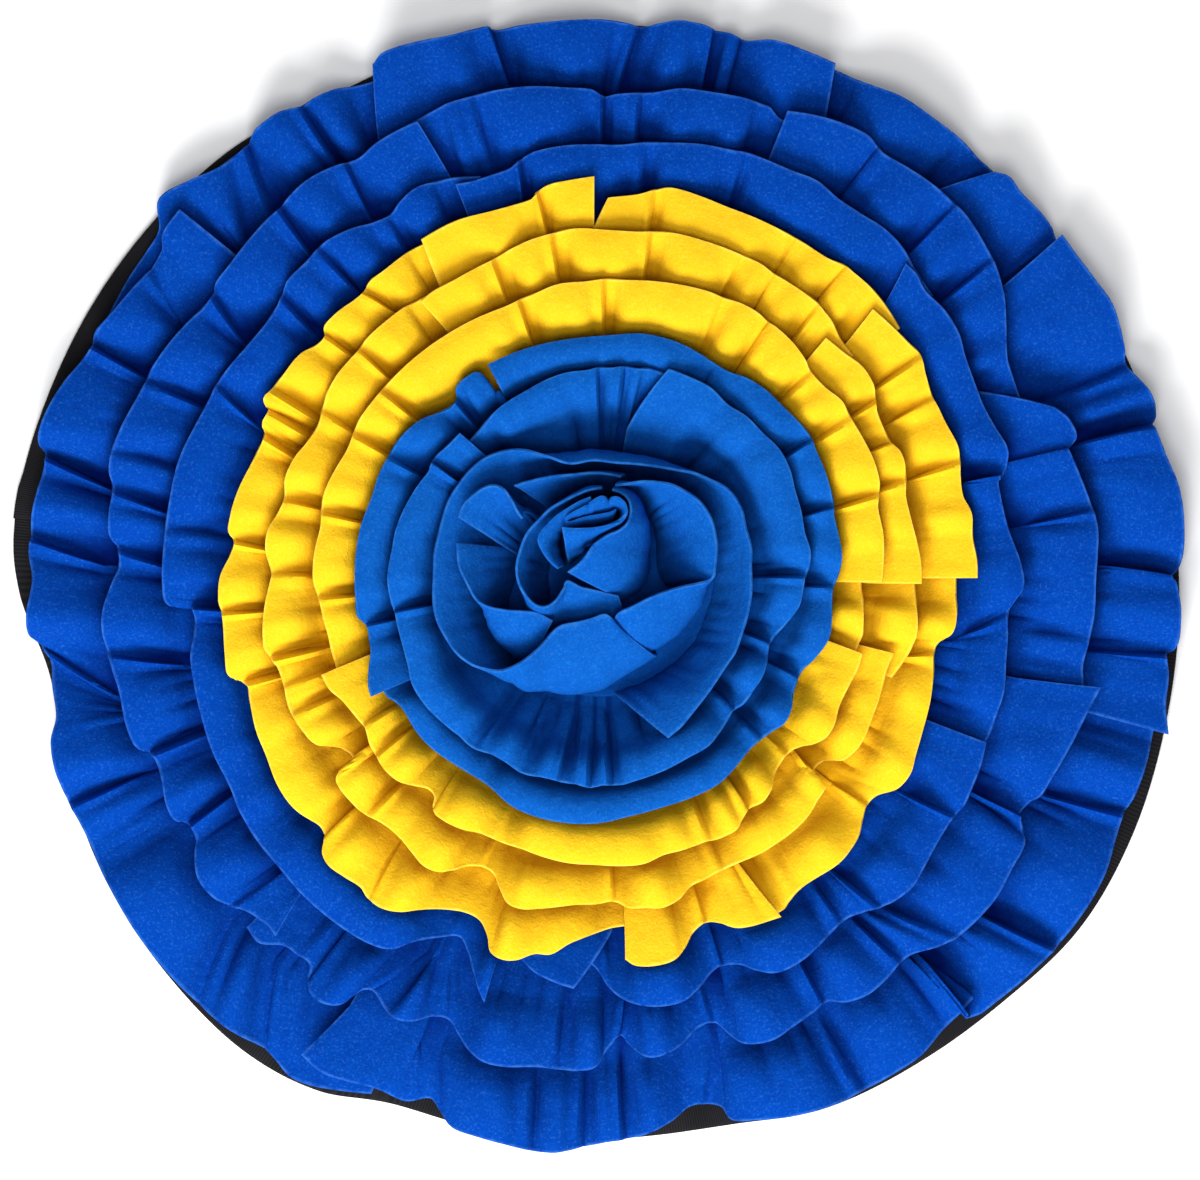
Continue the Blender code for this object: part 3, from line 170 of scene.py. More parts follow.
class Finish:
    """A material under construction."""

    def __init__(self, name):
        self.material = bpy.data.materials.new(name)
        self.material.use_nodes = True
        self.nodes = self.material.node_tree.nodes
        self.shader = self.nodes["Principled BSDF"]

    def node(self, kind, settings, values, output=0):
        node = self.nodes.new(kind)
        for setting, value in settings.items():
            setattr(node, setting, value)
        for slot, value in values.items():
            join(node.inputs[slot], value)
        return Strand(node.outputs[output])

    def place(self):
        return self.node("ShaderNodeTexCoord", {}, {}, "Object")

    def speckle(self, scale, detail=2.0, roughness=0.5):
        """Noise with features about 1 / scale of a metre wide."""
        return self.node("ShaderNodeTexNoise", {}, {
            "Vector": self.place(), "Scale": scale, "Detail": detail, "Roughness": roughness})

    def mixed(self, share, first, second):
        """First colour where the share is 0, second where it is 1."""
        return self.node("ShaderNodeMix", {"data_type": "RGBA"}, {
            0: share, 6: first, 7: second}, 2)

    def done(self, colour, roughness, height, depth, sheen=0.0, sheen_tint=(1, 1, 1, 1)):
        """Join colour, roughness and relief to the shader; depth is in mm."""
        bump = self.node("ShaderNodeBump", {}, {
            "Height": height, "Distance": depth * MM, "Strength": 1.0})
        join(self.shader.inputs["Base Color"], colour)
        join(self.shader.inputs["Roughness"], roughness)
        join(self.shader.inputs["Normal"], bump)
        self.shader.inputs["Sheen Weight"].default_value = sheen
        self.shader.inputs["Sheen Roughness"].default_value = SHEEN_ROUGHNESS
        self.shader.inputs["Sheen Tint"].default_value = sheen_tint
        self.shader.inputs["Specular IOR Level"].default_value = CLOTH_SPECULAR
        return self.material


def black_felt():
    """Matted fibres, with a row of machine stitches under each ring's seam."""
    felt = Finish("black_felt")
    apart = felt.node("ShaderNodeSeparateXYZ", {}, {"Vector": felt.place()})
    tree_node = apart.socket.node
    east, north = Strand(tree_node.outputs[0]), Strand(tree_node.outputs[1])
    radius = felt.node("ShaderNodeMath", {"operation": "SQRT"}, {
        0: east * east + north * north})
    angle = felt.node("ShaderNodeMath", {"operation": "ARCTAN2"}, {0: north, 1: east})
    stitches = 0.0
    for seam in SEAM_RADII:
        on_row = (radius - seam * MM).size().below(STITCH_WIDTH / 2 * MM, STITCH_BLUR * MM)
        count = round(2 * math.pi * seam / STITCH_LENGTH)
        dash = felt.node("ShaderNodeMath", {"operation": "SINE"}, {0: angle * float(count)})
        stitches = on_row * ((dash + 0.7) * 3.0).clipped() + stitches
    fibres = felt.speckle(900.0, 4.0, 0.7)
    matted = felt.speckle(120.0, 2.0)
    colour = felt.mixed(((fibres - 0.5) * 1.6 + matted * 0.6).clipped(), FELT_BLACK, FELT_GREY)
    colour = felt.mixed(stitches, colour, STITCH_GREY)
    return felt.done(colour, fibres * 0.15 + FELT_ROUGHNESS, fibres + stitches * 1.5,
                     FELT_RELIEF, sheen=FELT_SHEEN)


def outline_points(inset, height):
    """Points round the base's outline, moved in by a distance, at one height."""
    degrees = np.arange(OUTLINE_STEPS) * 360 / OUTLINE_STEPS
    radius = outline_radius(degrees) - inset
    angle = np.radians(degrees)
    return np.stack([radius * np.cos(angle), radius * np.sin(angle),
                     np.full(OUTLINE_STEPS, float(height))], axis=1)


rim_low = TAPE_THICK + TAPE_GAP
edge_in = TAPE_THICK + TAPE_GAP
step_in = TAPE_WIDTH + TAPE_GAP
flat_in = step_in + STEP_EASE
lower_face = [(inset, 0) for inset in FLAT_INSETS]
upper_face = [(inset, BASE_THICK) for inset in reversed(FLAT_INSETS)]
base_profile = lower_face + [
    (flat_in, 0), (step_in, STEP_EASE), (step_in, rim_low), (edge_in, rim_low),
    (edge_in, rim_low + RIM_THICK), (step_in, rim_low + RIM_THICK),
    (step_in, BASE_THICK - STEP_EASE), (flat_in, BASE_THICK)] + upper_face
base_grid = np.array([outline_points(*corner) for corner in base_profile])
base = cloth_object("felt_base", base_grid, black_felt(), closed_round=True)
bpy.context.view_layer.objects.active = base
base.select_set(True)
bpy.ops.object.mode_set(mode="EDIT")
bpy.ops.mesh.select_all(action="SELECT")
bpy.ops.mesh.fill_holes(sides=0)
bpy.ops.mesh.select_all(action="SELECT")
bpy.ops.mesh.normals_make_consistent(inside=False)
bpy.ops.object.mode_set(mode="OBJECT")
base.select_set(False)
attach(base, "root")
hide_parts("mat_base")


# Edge binding.
# A black ribbed polyester tape folded round the rim and sewn through all layers with one row of
# stitches near its inner edge; its end is turned under and laps over its start.
JOINT_DEGREES = 171.0
LAP_DEGREES = 3.0
LAP_SLOPE = 1.5         # degrees over which the end climbs on to the start
LAP_LIFT = TAPE_THICK + 0.1
STITCH_INSET = 2.5
RIB_PITCH = 1.2
STITCH_PITCH = 3.5
TAPE_RELIEF = 0.12
TAPE_ROUGHNESS = 0.55
TAPE_BLACK = (0.006, 0.006, 0.007, 1)
TAPE_GREY = (0.022, 0.022, 0.025, 1)
TAPE_COLUMNS = 720


def black_tape():
    """Fine ribs across the tape, and dashes of thread along its inner edge."""
    tape = Finish("black_tape")
    along = tape.node("ShaderNodeAttribute", {"attribute_name": "along"}, {}, "Fac")
    inset = tape.node("ShaderNodeAttribute", {"attribute_name": "inset"}, {}, "Fac")
    ribs = tape.node("ShaderNodeMath", {"operation": "SINE"}, {
        0: along * (2 * math.pi / RIB_PITCH)})
    dash = tape.node("ShaderNodeMath", {"operation": "SINE"}, {
        0: along * (2 * math.pi / STITCH_PITCH)})
    on_row = (inset - (TAPE_WIDTH - STITCH_INSET)).size().below(STITCH_WIDTH / 2, STITCH_BLUR)
    stitches = on_row * ((dash + 0.6) * 3.0).clipped()
    wear = tape.speckle(60.0, 3.0)
    colour = tape.mixed((ribs * 0.2 + wear * 0.7).clipped(), TAPE_BLACK, TAPE_GREY)
    colour = tape.mixed(stitches, colour, STITCH_GREY)
    return tape.done(colour, wear * 0.2 + TAPE_ROUGHNESS, ribs * 0.5 + stitches * 1.5,
                     TAPE_RELIEF)


def add_attribute(piece, name, values):
    """Store one number for each point of a mesh."""
    attribute = piece.data.attributes.new(name, "FLOAT", "POINT")
    attribute.data.foreach_set("value", np.asarray(values, dtype=np.float32).ravel())


tape_low = TAPE_THICK / 2
tape_high = TAPE_THICK + RIM_THICK + 2 * TAPE_GAP + TAPE_THICK / 2
bend = TAPE_THICK / 2
# Section of the tape's middle from its lower inner edge round the rim: (inset, height)
tape_section = (
    (TAPE_WIDTH, tape_low), (TAPE_WIDTH - 1, tape_low), (TAPE_WIDTH - 3, tape_low),
    (8, tape_low), (3, tape_low),
    (1.4, tape_low + 0.1), (0.7, tape_low + 0.45), (bend, tape_low + 1.0),
    (bend, tape_high - 1.0), (0.7, tape_high - 0.45), (1.4, tape_high - 0.1), (3, tape_high),
    (6, tape_high + 0.25), (10, tape_high + 0.3), (TAPE_WIDTH - STITCH_INSET, tape_high - 0.1),
    (TAPE_WIDTH - 1, tape_high + 0.1), (TAPE_WIDTH, tape_high + 0.05))
tape_degrees = JOINT_DEGREES + np.linspace(0, 360 + LAP_DEGREES, TAPE_COLUMNS)
past_start = tape_degrees - JOINT_DEGREES - 360
lapped = np.clip((past_start + LAP_SLOPE) / LAP_SLOPE, 0, 1)
tape_grid = []
for inset, height in tape_section:
    outwards = lapped * TAPE_THICK * np.clip((3 - inset) / 2, -0.2, 1)
    upwards = lapped * LAP_LIFT * np.clip((height - tape_high / 2) * 2, 0, 1)
    radius = outline_radius(tape_degrees) - inset + outwards
    angle = np.radians(tape_degrees)
    tape_grid.append(np.stack([radius * np.cos(angle), radius * np.sin(angle),
                               height + upwards], axis=1))
binding = cloth_object("edge_binding_tape", np.array(tape_grid), black_tape())
tape_along = np.radians(tape_degrees) * outline_radius(tape_degrees)
add_attribute(binding, "along", np.tile(tape_along, len(tape_section)))
add_attribute(binding, "inset", np.repeat([inset for inset, _ in tape_section], TAPE_COLUMNS))
thickness = binding.modifiers.new("tape", "SOLIDIFY")
thickness.thickness = TAPE_THICK * MM
thickness.offset = 0
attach(binding, "root")
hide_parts("edge_binding")


# Outer ring.
# Royal blue anti-pill fleece cut in 5 cm strips, gathered into pleats along one long edge and
# sewn to the felt. The free edge is cut, not hemmed, and each strip's ends lap over or under
# the next.
# A ring's pleats are listed counter-clockwise, one row for each fold:
#   deg    where the fold meets the free edge, round the mat's centre
#   reach  distance of the free edge from the centre, in mm
#   level  height of the free edge in its ring's band, 0 lowest to 1 highest
#   lean   how many degrees round the fold runs on its way in to the seam
# A lap is how an end lies on its neighbour: over, under or free, and for how many degrees.
FLEECE = 2.0
STRIP_WIDTH = 0.045     # from a strip's seam to its free edge, in metres
CLEAR = 1.6             # from a strip's middle surface to the limit of its band
SEAT = BASE_THICK + FLEECE / 2 + 0.35
LIFT_POWER = 1.6        # how quickly a ruffle rises from its seam
LIFT_START = 1.0        # rise where its cloth comes free of the one below, in mm
LIFT_SPAN = 6.0         # and the further rise over which it gets all its room
FLARE = 0.3             # slope of a ruffle past its mean edge
TUCK = 0.4              # share of a strip's width that its folds run straight
UNDER_LANE = 0.30       # an end that lies under its neighbour stays below this level
OVER_LANE = 0.66        # and the end over it above this one
SEAM_LANE = 0.56        # level at the seam where a strip is sewn on top of its neighbour
LAP_FADE = 2.0          # degrees past a lap over which it fades out
FOLD_STEPS = 7          # columns of mesh from fold to fold
ROUNDING = 0.45         # radius of a cut edge
THIN_EDGE = 0.55        # share of its thickness that the cloth keeps at a cut edge
THIN_SPAN = 5.0         # and how far from the edge it is full again, in mm
THIN_GROUP = "thickness"
CUT_ANGLE = 60          # only a cut edge is sharper than this
# Rows of mesh, by their distance from the free edge along the strip in mm
ROWS_FROM_EDGE = (0, 1.2, 2.6, 4.5, 7, 10, 13, 16, 19, 22, 25, 28, 31)
ROWS_TO_SEAM = 4
ALLOWANCE = 6.5         # cloth left inside the seam, flat on the felt, in mm
WRINKLE = 0.45
WRINKLE_SIZE = 9.0
CREASE_SPAN = 7.0       # how far on either side a panel shades the crease beside it, in mm
CREASE_DEPTH = 2.4      # how much deeper a crease gets on its way inwards
CREASE_POWER = 0.7
# Pleats are laid over from this side, so they slope down to a crease there: (east, north)
PLEAT_LIE = (0.5, 0.87)
SLOPE_SPAN = 14.0       # how far from a crease that slope starts, in mm
SLOPE_DEPTH = 0.6
WALL_SPAN = 6.0         # how far from a crease the folded edge over it is straightened
LEAST_CREASE = 0.1      # a shallower crease has no folded edge
LEAST_GAP = 0.1         # and a column nearer than this is the crease itself, in mm
CREASE_SHADE_WIDTH = 2.0      # shade is painted round the inner end of a crease: how widely,
CREASE_SHADE_FADE = 1.3       # and how quickly that fades outwards
FOLD_OVER = 3.0         # how far a panel's side swings over the crease, in mm
FOLD_AT_EDGE = 0.35     # share of that swing left at the free edge
FOLD_SLOPE = 0.02
LEAN_LIMIT = 1.15       # a fold stops leaning at this share of the way to its tuck
DIVE = 0.45             # share of its level that a strip keeps where the next ring covers it
DIVE_SPAN = 0.35
DIVE_POWER = 0.6
SWELL = 4.0             # how far the open part of a panel swells over its band, in mm
SWELL_PEAK = 0.75       # below 1, the swell is highest near the next ring
SWELL_POWER = 1.5       # a panel that lies low swells far less than a high one
END_PITCH = 1.5         # from column to column of mesh near a strip's ends, in mm

# Each ring: seam radius, mean radius of its free edge, and its rise
RING_SHAPES = (
    (200, 247, 14), (166, 212, 17), (140, 184, 19), (121, 163, 21), (101, 141, 24),
    (84, 122, 27), (71, 103, 29), (53, 88, 31))
ROSETTE_SHAPE = (41, 72, 35)

BLUE = (0.0008, 0.053, 0.34, 1)
BLUE_DEEP = (0.0004, 0.026, 0.245, 1)
# paler colour along a cut, partly a painted highlight, and the painted highlight on the curl
# tips
BLUE_CUT_AND_HIGHLIGHT = (0.035, 0.15, 0.52, 1)
# colour of the shade painted into the folds
BLUE_PAINTED_SHADE = (0.0003, 0.008, 0.11, 1)
BLUE_NAP = 1.2          # contrast between the nap's tips and its depth
NAP_TONE = 0.62
NAP_RELIEF = 0.5
FLEECE_SHEEN = 0.12
FLEECE_ROUGHNESS = 0.88
TIP_LEVEL = 0.56        # the ends of the curls catch the light, in a share of the nap
TIP_SHARPNESS = 9.0
TIP_SHARE = 0.26
OPEN_SKY = 0.2          # a place that has less than this of the sky hidden gets no painted shade
# how strongly shade is painted where other cloth hides the sky
SKY_SHADE_SHARE = 1.3
# how strongly shade is painted at the inner ends of creases
CREASE_SHADE_SHARE = 0.65
CUT_LINE = 0.3          # width of the paler line along a cut, partly a painted highlight, in mm
CUT_LINE_BLUR = 0.9
CUT_LINE_SHARE = 0.6


def fleece(name, colour, deep, cut_and_highlight, shade_colour, nap_contrast):
    """Brushed fleece: a curly nap with painted highlights on its curl tips, painted shade in
    the folds and at the crease ends, and a paler line at a cut that is partly a painted
    highlight.
    """
    cloth = Finish(name)
    curls = cloth.speckle(900.0, 3.0, 0.65)
    tufts = cloth.speckle(260.0, 2.0, 0.5)
    brushed = cloth.speckle(38.0, 2.0, 0.5)
    from_cut = cloth.node("ShaderNodeAttribute", {"attribute_name": "from_cut"}, {}, "Fac")
    share = ((curls - 0.5) * nap_contrast + (tufts - 0.5) * (nap_contrast * 0.5)
             + (brushed - 0.5) * 0.3 + NAP_TONE).clipped()
    tips = ((curls - TIP_LEVEL) * TIP_SHARPNESS).clipped()
    tone = cloth.mixed(tips * TIP_SHARE, cloth.mixed(share, deep, colour), cut_and_highlight)
    hidden = cloth.node("ShaderNodeAttribute", {"attribute_name": "hidden_sky"}, {}, "Fac")
    crease_shade = cloth.node("ShaderNodeAttribute", {"attribute_name": "crease_shade"}, {}, "Fac")
    # painted shade: the colour darkens where other cloth hides the sky and at the inner ends of
    # creases
    shade_share = (hidden - OPEN_SKY) * SKY_SHADE_SHARE + crease_shade * CREASE_SHADE_SHARE
    tone = cloth.mixed(shade_share.clipped(), tone, shade_colour)
    # paler line along a cut: paler cut fibres, and partly a painted highlight
    rim = from_cut.below(CUT_LINE, CUT_LINE_BLUR) * ((tufts - 0.5) * 2.5 + 0.6).clipped()
    tone = cloth.mixed(rim * CUT_LINE_SHARE, tone, cut_and_highlight)
    relief = curls * 0.6 + tufts * 0.8
    return cloth.done(tone, curls * 0.1 + FLEECE_ROUGHNESS, relief, NAP_RELIEF,
                      sheen=FLEECE_SHEEN, sheen_tint=colour)


def crown(index, radius):
    """Height of a ring's middle surface above its seam, at a radius."""
    if index < 0:
        return np.zeros_like(radius)
    seam, edge, rise = (RING_SHAPES + (ROSETTE_SHAPE,))[index]
    across = np.clip((radius - seam) / (edge - seam), 0, 1)
    return rise * (1 - (1 - across) ** LIFT_POWER) + FLARE * np.maximum(radius - edge, 0)


def band(index, radius):
    """Lowest and highest place for the middle of a ring's cloth, at a radius."""
    own = crown(index, radius)
    seated = np.clip((own - LIFT_START) / LIFT_SPAN, 0, 1)
    low = (crown(index - 1, radius) + own) / 2 if index else own * 0.1
    high = (crown(index + 1, radius) + own) / 2
    return SEAT + low + (CLEAR - 1) * seated, SEAT + high - CLEAR


def lane(level, degrees, end_degree, lap):
    """Keep the levels near a strip's end under or over the neighbour that it laps."""
    side, extent = lap
    if side == "free":
        return level
    near = np.clip(1.6 - 1.6 * np.abs(degrees - end_degree) / (extent + LAP_FADE), 0, 1)
    if side == "under":
        held = np.minimum(level, UNDER_LANE)
    else:
        held = np.maximum(level, OVER_LANE)
    return level + (held - level) * np.clip(near * 2, 0, 1)


def on_top(degrees, end_degree, lap):
    """How far each column belongs to an end that lies over its neighbour, from 0 to 1."""
    side, extent = lap
    if side != "over":
        return 0 * degrees
    return np.clip(1.4 - np.abs(degrees - end_degree) / (extent + LAP_FADE), 0, 1)


def wrinkles(points, seed, size):
    """Small soft unevenness of cloth, from -1 to 1, at points given in mm."""
    shift = Vector((seed * 17.3, seed * 5.1, seed * 9.7))
    flat = points.reshape(-1, 3)
    values = [noise.noise(Vector(point) / size + shift) for point in flat]
    return np.array(values).reshape(points.shape[:-1])


def over_arc(values, along, reach, operation):
    """The largest or mean of the values within a distance on either side of each column."""
    near = np.abs(along[:, None] - along[None, :]) <= reach
    if operation == "largest":
        return np.where(near, values[None, :], -1.0).max(axis=1)
    return (near * values[None, :]).sum(axis=1) / near.sum(axis=1)


def lay_pleats(level, degrees, mean_edge):
    """Give each crease a long slope on one side and a folded edge on the other."""
    angle = np.radians(degrees)
    along = angle * mean_edge
    facing = np.cos(angle) * PLEAT_LIE[1] - np.sin(angle) * PLEAT_LIE[0]
    largest = over_arc(level, along, CREASE_SPAN, "largest")
    gap = along[:, None] - along[None, :]
    lowest = np.where(np.abs(gap) <= CREASE_SPAN, level[None, :], 2.0).argmin(axis=1)
    depth = np.where(lowest == np.arange(len(level)), np.clip(largest - level, 0, 1), 0)
    on_slope = np.clip(0.5 + 1.2 * np.sign(gap) * facing[None, :], 0, 1)
    fall = np.clip(1 - np.abs(gap) / SLOPE_SPAN, 0, 1)
    slope = (fall * on_slope * depth[None, :]).max(axis=1)
    beside = (depth[None, :] > LEAST_CREASE) * (np.abs(gap) > LEAST_GAP)
    wall = (np.clip(1.3 - np.abs(gap) / WALL_SPAN, 0, 1) * (1 - on_slope) * beside).max(axis=1)
    laid = level - SLOPE_DEPTH * slope * (1 - wall)
    laid = np.pad(np.clip(laid + (largest - laid) * wall, 0, 1), 1, mode="edge")
    return (laid[:-2] + 2 * laid[1:-1] + laid[2:]) / 4


def ruffle_grid(index, laps_and_folds, seed):
    """Middle surface of one pleated strip, as a grid of points: columns round, rows outward."""
    start_lap, end_lap, folds = laps_and_folds
    seam, mean_edge = RING_SHAPES[index][:2]
    covered = ((RING_SHAPES + (ROSETTE_SHAPE,))[index + 1][1] - seam) / (mean_edge - seam)
    degrees, reach, level, lean = smooth_rows(folds, FOLD_STEPS).T
    level = np.clip(level, 0, 1)
    for end, lap in ((degrees[0], start_lap), (degrees[-1], end_lap)):
        level = lane(level, degrees, end, lap)
    over_start = on_top(degrees, degrees[0], start_lap)
    over_end = on_top(degrees, degrees[-1], end_lap)
    lapping = np.clip(2 * np.maximum(over_start, over_end), 0, 1)
    seam_level = SEAM_LANE * lapping
    along = np.radians(degrees) * mean_edge
    level = lay_pleats(level, degrees, mean_edge)
    largest = over_arc(level, along, CREASE_SPAN, "largest")
    crease = np.clip(largest - level, 0, 1)
    mean_level = over_arc(level, along, CREASE_SPAN, "mean")
    slope = np.gradient(mean_level, along)
    fold_over = np.tanh(-slope / FOLD_SLOPE) * (level - mean_level) * 2
    deep_level = np.clip(level - CREASE_DEPTH * crease, 0, 1)
    deep_level = np.maximum(deep_level, lapping * OVER_LANE)
    inner_share = 1 - ROWS_FROM_EDGE[-1] / (STRIP_WIDTH / MM)
    across_rows = np.concatenate([
        [-ALLOWANCE / (mean_edge - seam)],
        np.linspace(0, inner_share, ROWS_TO_SEAM, endpoint=False),
        1 - np.array(ROWS_FROM_EDGE[::-1]) / (STRIP_WIDTH / MM)])
    rows, crease_shades = [], []
    for across in across_rows:
        inward = np.clip((1 - across) / (1 - TUCK), 0, LEAN_LIMIT)
        inside = np.clip((1 - across) / (1 - covered), 0, 1)
        swing = FOLD_AT_EDGE + (1 - FOLD_AT_EDGE) * inside
        turn = FOLD_OVER * swing * fold_over * np.clip(across / TUCK, 0, 1)
        angle = np.radians(degrees + lean * inward) + turn / mean_edge
        radius = seam + (reach - seam) * across
        open_share = np.clip((across - covered) / (1 - covered), 0, 1)
        panel = level + (deep_level - level) * (1 - open_share) ** CREASE_POWER
        dive = DIVE + (1 - DIVE) * np.clip(open_share / DIVE_SPAN, 0, 1) ** DIVE_POWER
        dive = dive + (1 - dive) * lapping
        if across < covered:
            share = max(across, 0) / covered
            height = seam_level + (panel * dive - seam_level) * share
        else:
            height = panel * dive
        low, high = band(index, radius)
        swell_share = math.sin(math.pi * float(open_share) ** SWELL_PEAK)
        swell = SWELL * swell_share * panel ** SWELL_POWER
        rows.append(np.stack([radius * np.cos(angle), radius * np.sin(angle),
                              low + (high - low) * height + swell * (1 - lapping)], axis=1))
        # shade painted at the inner end of each crease, fading outwards
        crease_shades.append(np.clip(crease * CREASE_SHADE_WIDTH, 0, 1) * (1 - open_share) ** CREASE_SHADE_FADE)
    grid = np.array(rows)
    free = np.clip(across_rows / TUCK, 0, 1)[:, None]
    grid[..., 2] += WRINKLE * free * wrinkles(grid, seed, WRINKLE_SIZE)
    shallow = gathers(degrees, seam, seed)[None, :] * gather_share(across_rows)[:, None]
    if index == len(RING_SHAPES) - 1:
        shallow = shallow * OPEN_GATHERS
    grid[..., 2] -= shallow * (1 - lapping[None, :])
    return grid, across_rows, np.array(crease_shades)


GATHER_PITCH = 11.0     # mean distance from one gather to the next, along the strip in mm
GATHER_DRIFT = 1.6      # how unevenly they follow each other
DRIFT_SPAN = 40         # and over what length that changes, in mm
STRENGTH_SPAN = 25      # over what length the gathers get deeper and shallower
GATHER_DEPTH = 3.2
GATHER_START = 0.15     # share of the strip's width where a gather has its whole depth,
GATHER_HOLD = 0.3       # where it starts to smooth out,
GATHER_REACH = 0.8      # and where nothing is left of it
OPEN_GATHERS = 2.2      # how much deeper they are in the last ring, which stands open


def gathers(degrees, seam, seed):
    """Depth of the small tucks that the gathering thread pulls in, at each column in mm."""
    along = np.radians(degrees) * seam
    own = seed * 3.7
    drift = np.array([noise.noise(Vector((mm / DRIFT_SPAN, own, 0))) for mm in along])
    strength = np.array([noise.noise(Vector((mm / STRENGTH_SPAN, own, 5))) for mm in along])
    wave = np.abs(np.sin(math.pi * (along / GATHER_PITCH + GATHER_DRIFT * drift)))
    return GATHER_DEPTH * (1 - wave) ** 1.5 * np.clip(0.55 + 1.2 * strength, 0, 1)


def gather_share(across):
    """How much of a gather is left at a share of the strip's width."""
    rise = np.clip(across / GATHER_START, 0, 1)
    fall = np.clip((GATHER_REACH - across) / (GATHER_REACH - GATHER_HOLD), 0, 1)
    return rise * fall * fall * (3 - 2 * fall)


def thin_edges(piece, from_cut):
    """Let the cloth taper to its cut edges."""
    group = piece.vertex_groups.new(name=THIN_GROUP)
    shares = np.clip(THIN_EDGE + (1 - THIN_EDGE) * from_cut.reshape(-1) / THIN_SPAN, 0, 1)
    for number, share in enumerate(shares):
        group.add([number], float(share), "REPLACE")


def round_off(piece):
    """Give a surface its cloth thickness and round its cut edges."""
    thickness = piece.modifiers.new("cloth", "SOLIDIFY")
    thickness.thickness = FLEECE * MM
    thickness.offset = 0
    thickness.vertex_group = THIN_GROUP
    rounding = piece.modifiers.new("cut_edge", "BEVEL")
    rounding.limit_method = "ANGLE"
    rounding.angle_limit = math.radians(CUT_ANGLE)
    rounding.width = ROUNDING * MM
    rounding.segments = 2


fleece_pieces = []


def sew_strip(node, grid, finish, shares_in, end_pitch):
    """Make one strip, with its rows at these shares of its width in from the free edge."""
    piece = cloth_object(f"{node}_fleece", grid, finish)
    columns = np.arange(grid.shape[1])
    from_ends = np.minimum(columns, columns[::-1]) * end_pitch
    from_edge = shares_in * (STRIP_WIDTH / MM)
    from_cut = np.minimum(from_edge[:, None], from_ends[None, :])
    add_attribute(piece, "from_cut", from_cut)
    thin_edges(piece, from_cut)
    round_off(piece)
    fleece_pieces.append(piece)
    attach(piece, "root")
    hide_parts(node)
    return piece


def sew_ring(index, strips, finish):
    """Make each strip of a ring, sewn by its inner edge at the ring's seam."""
    for number, (strip, laps_and_folds) in enumerate(strips.items()):
        grid, across_rows, crease_shades = ruffle_grid(index, laps_and_folds, 10 * index + number)
        piece = sew_strip(f"ring_{index + 1}_{strip}", grid, finish, 1 - across_rows, END_PITCH)
        # painted shade at the crease ends
        add_attribute(piece, "crease_shade", crease_shades)


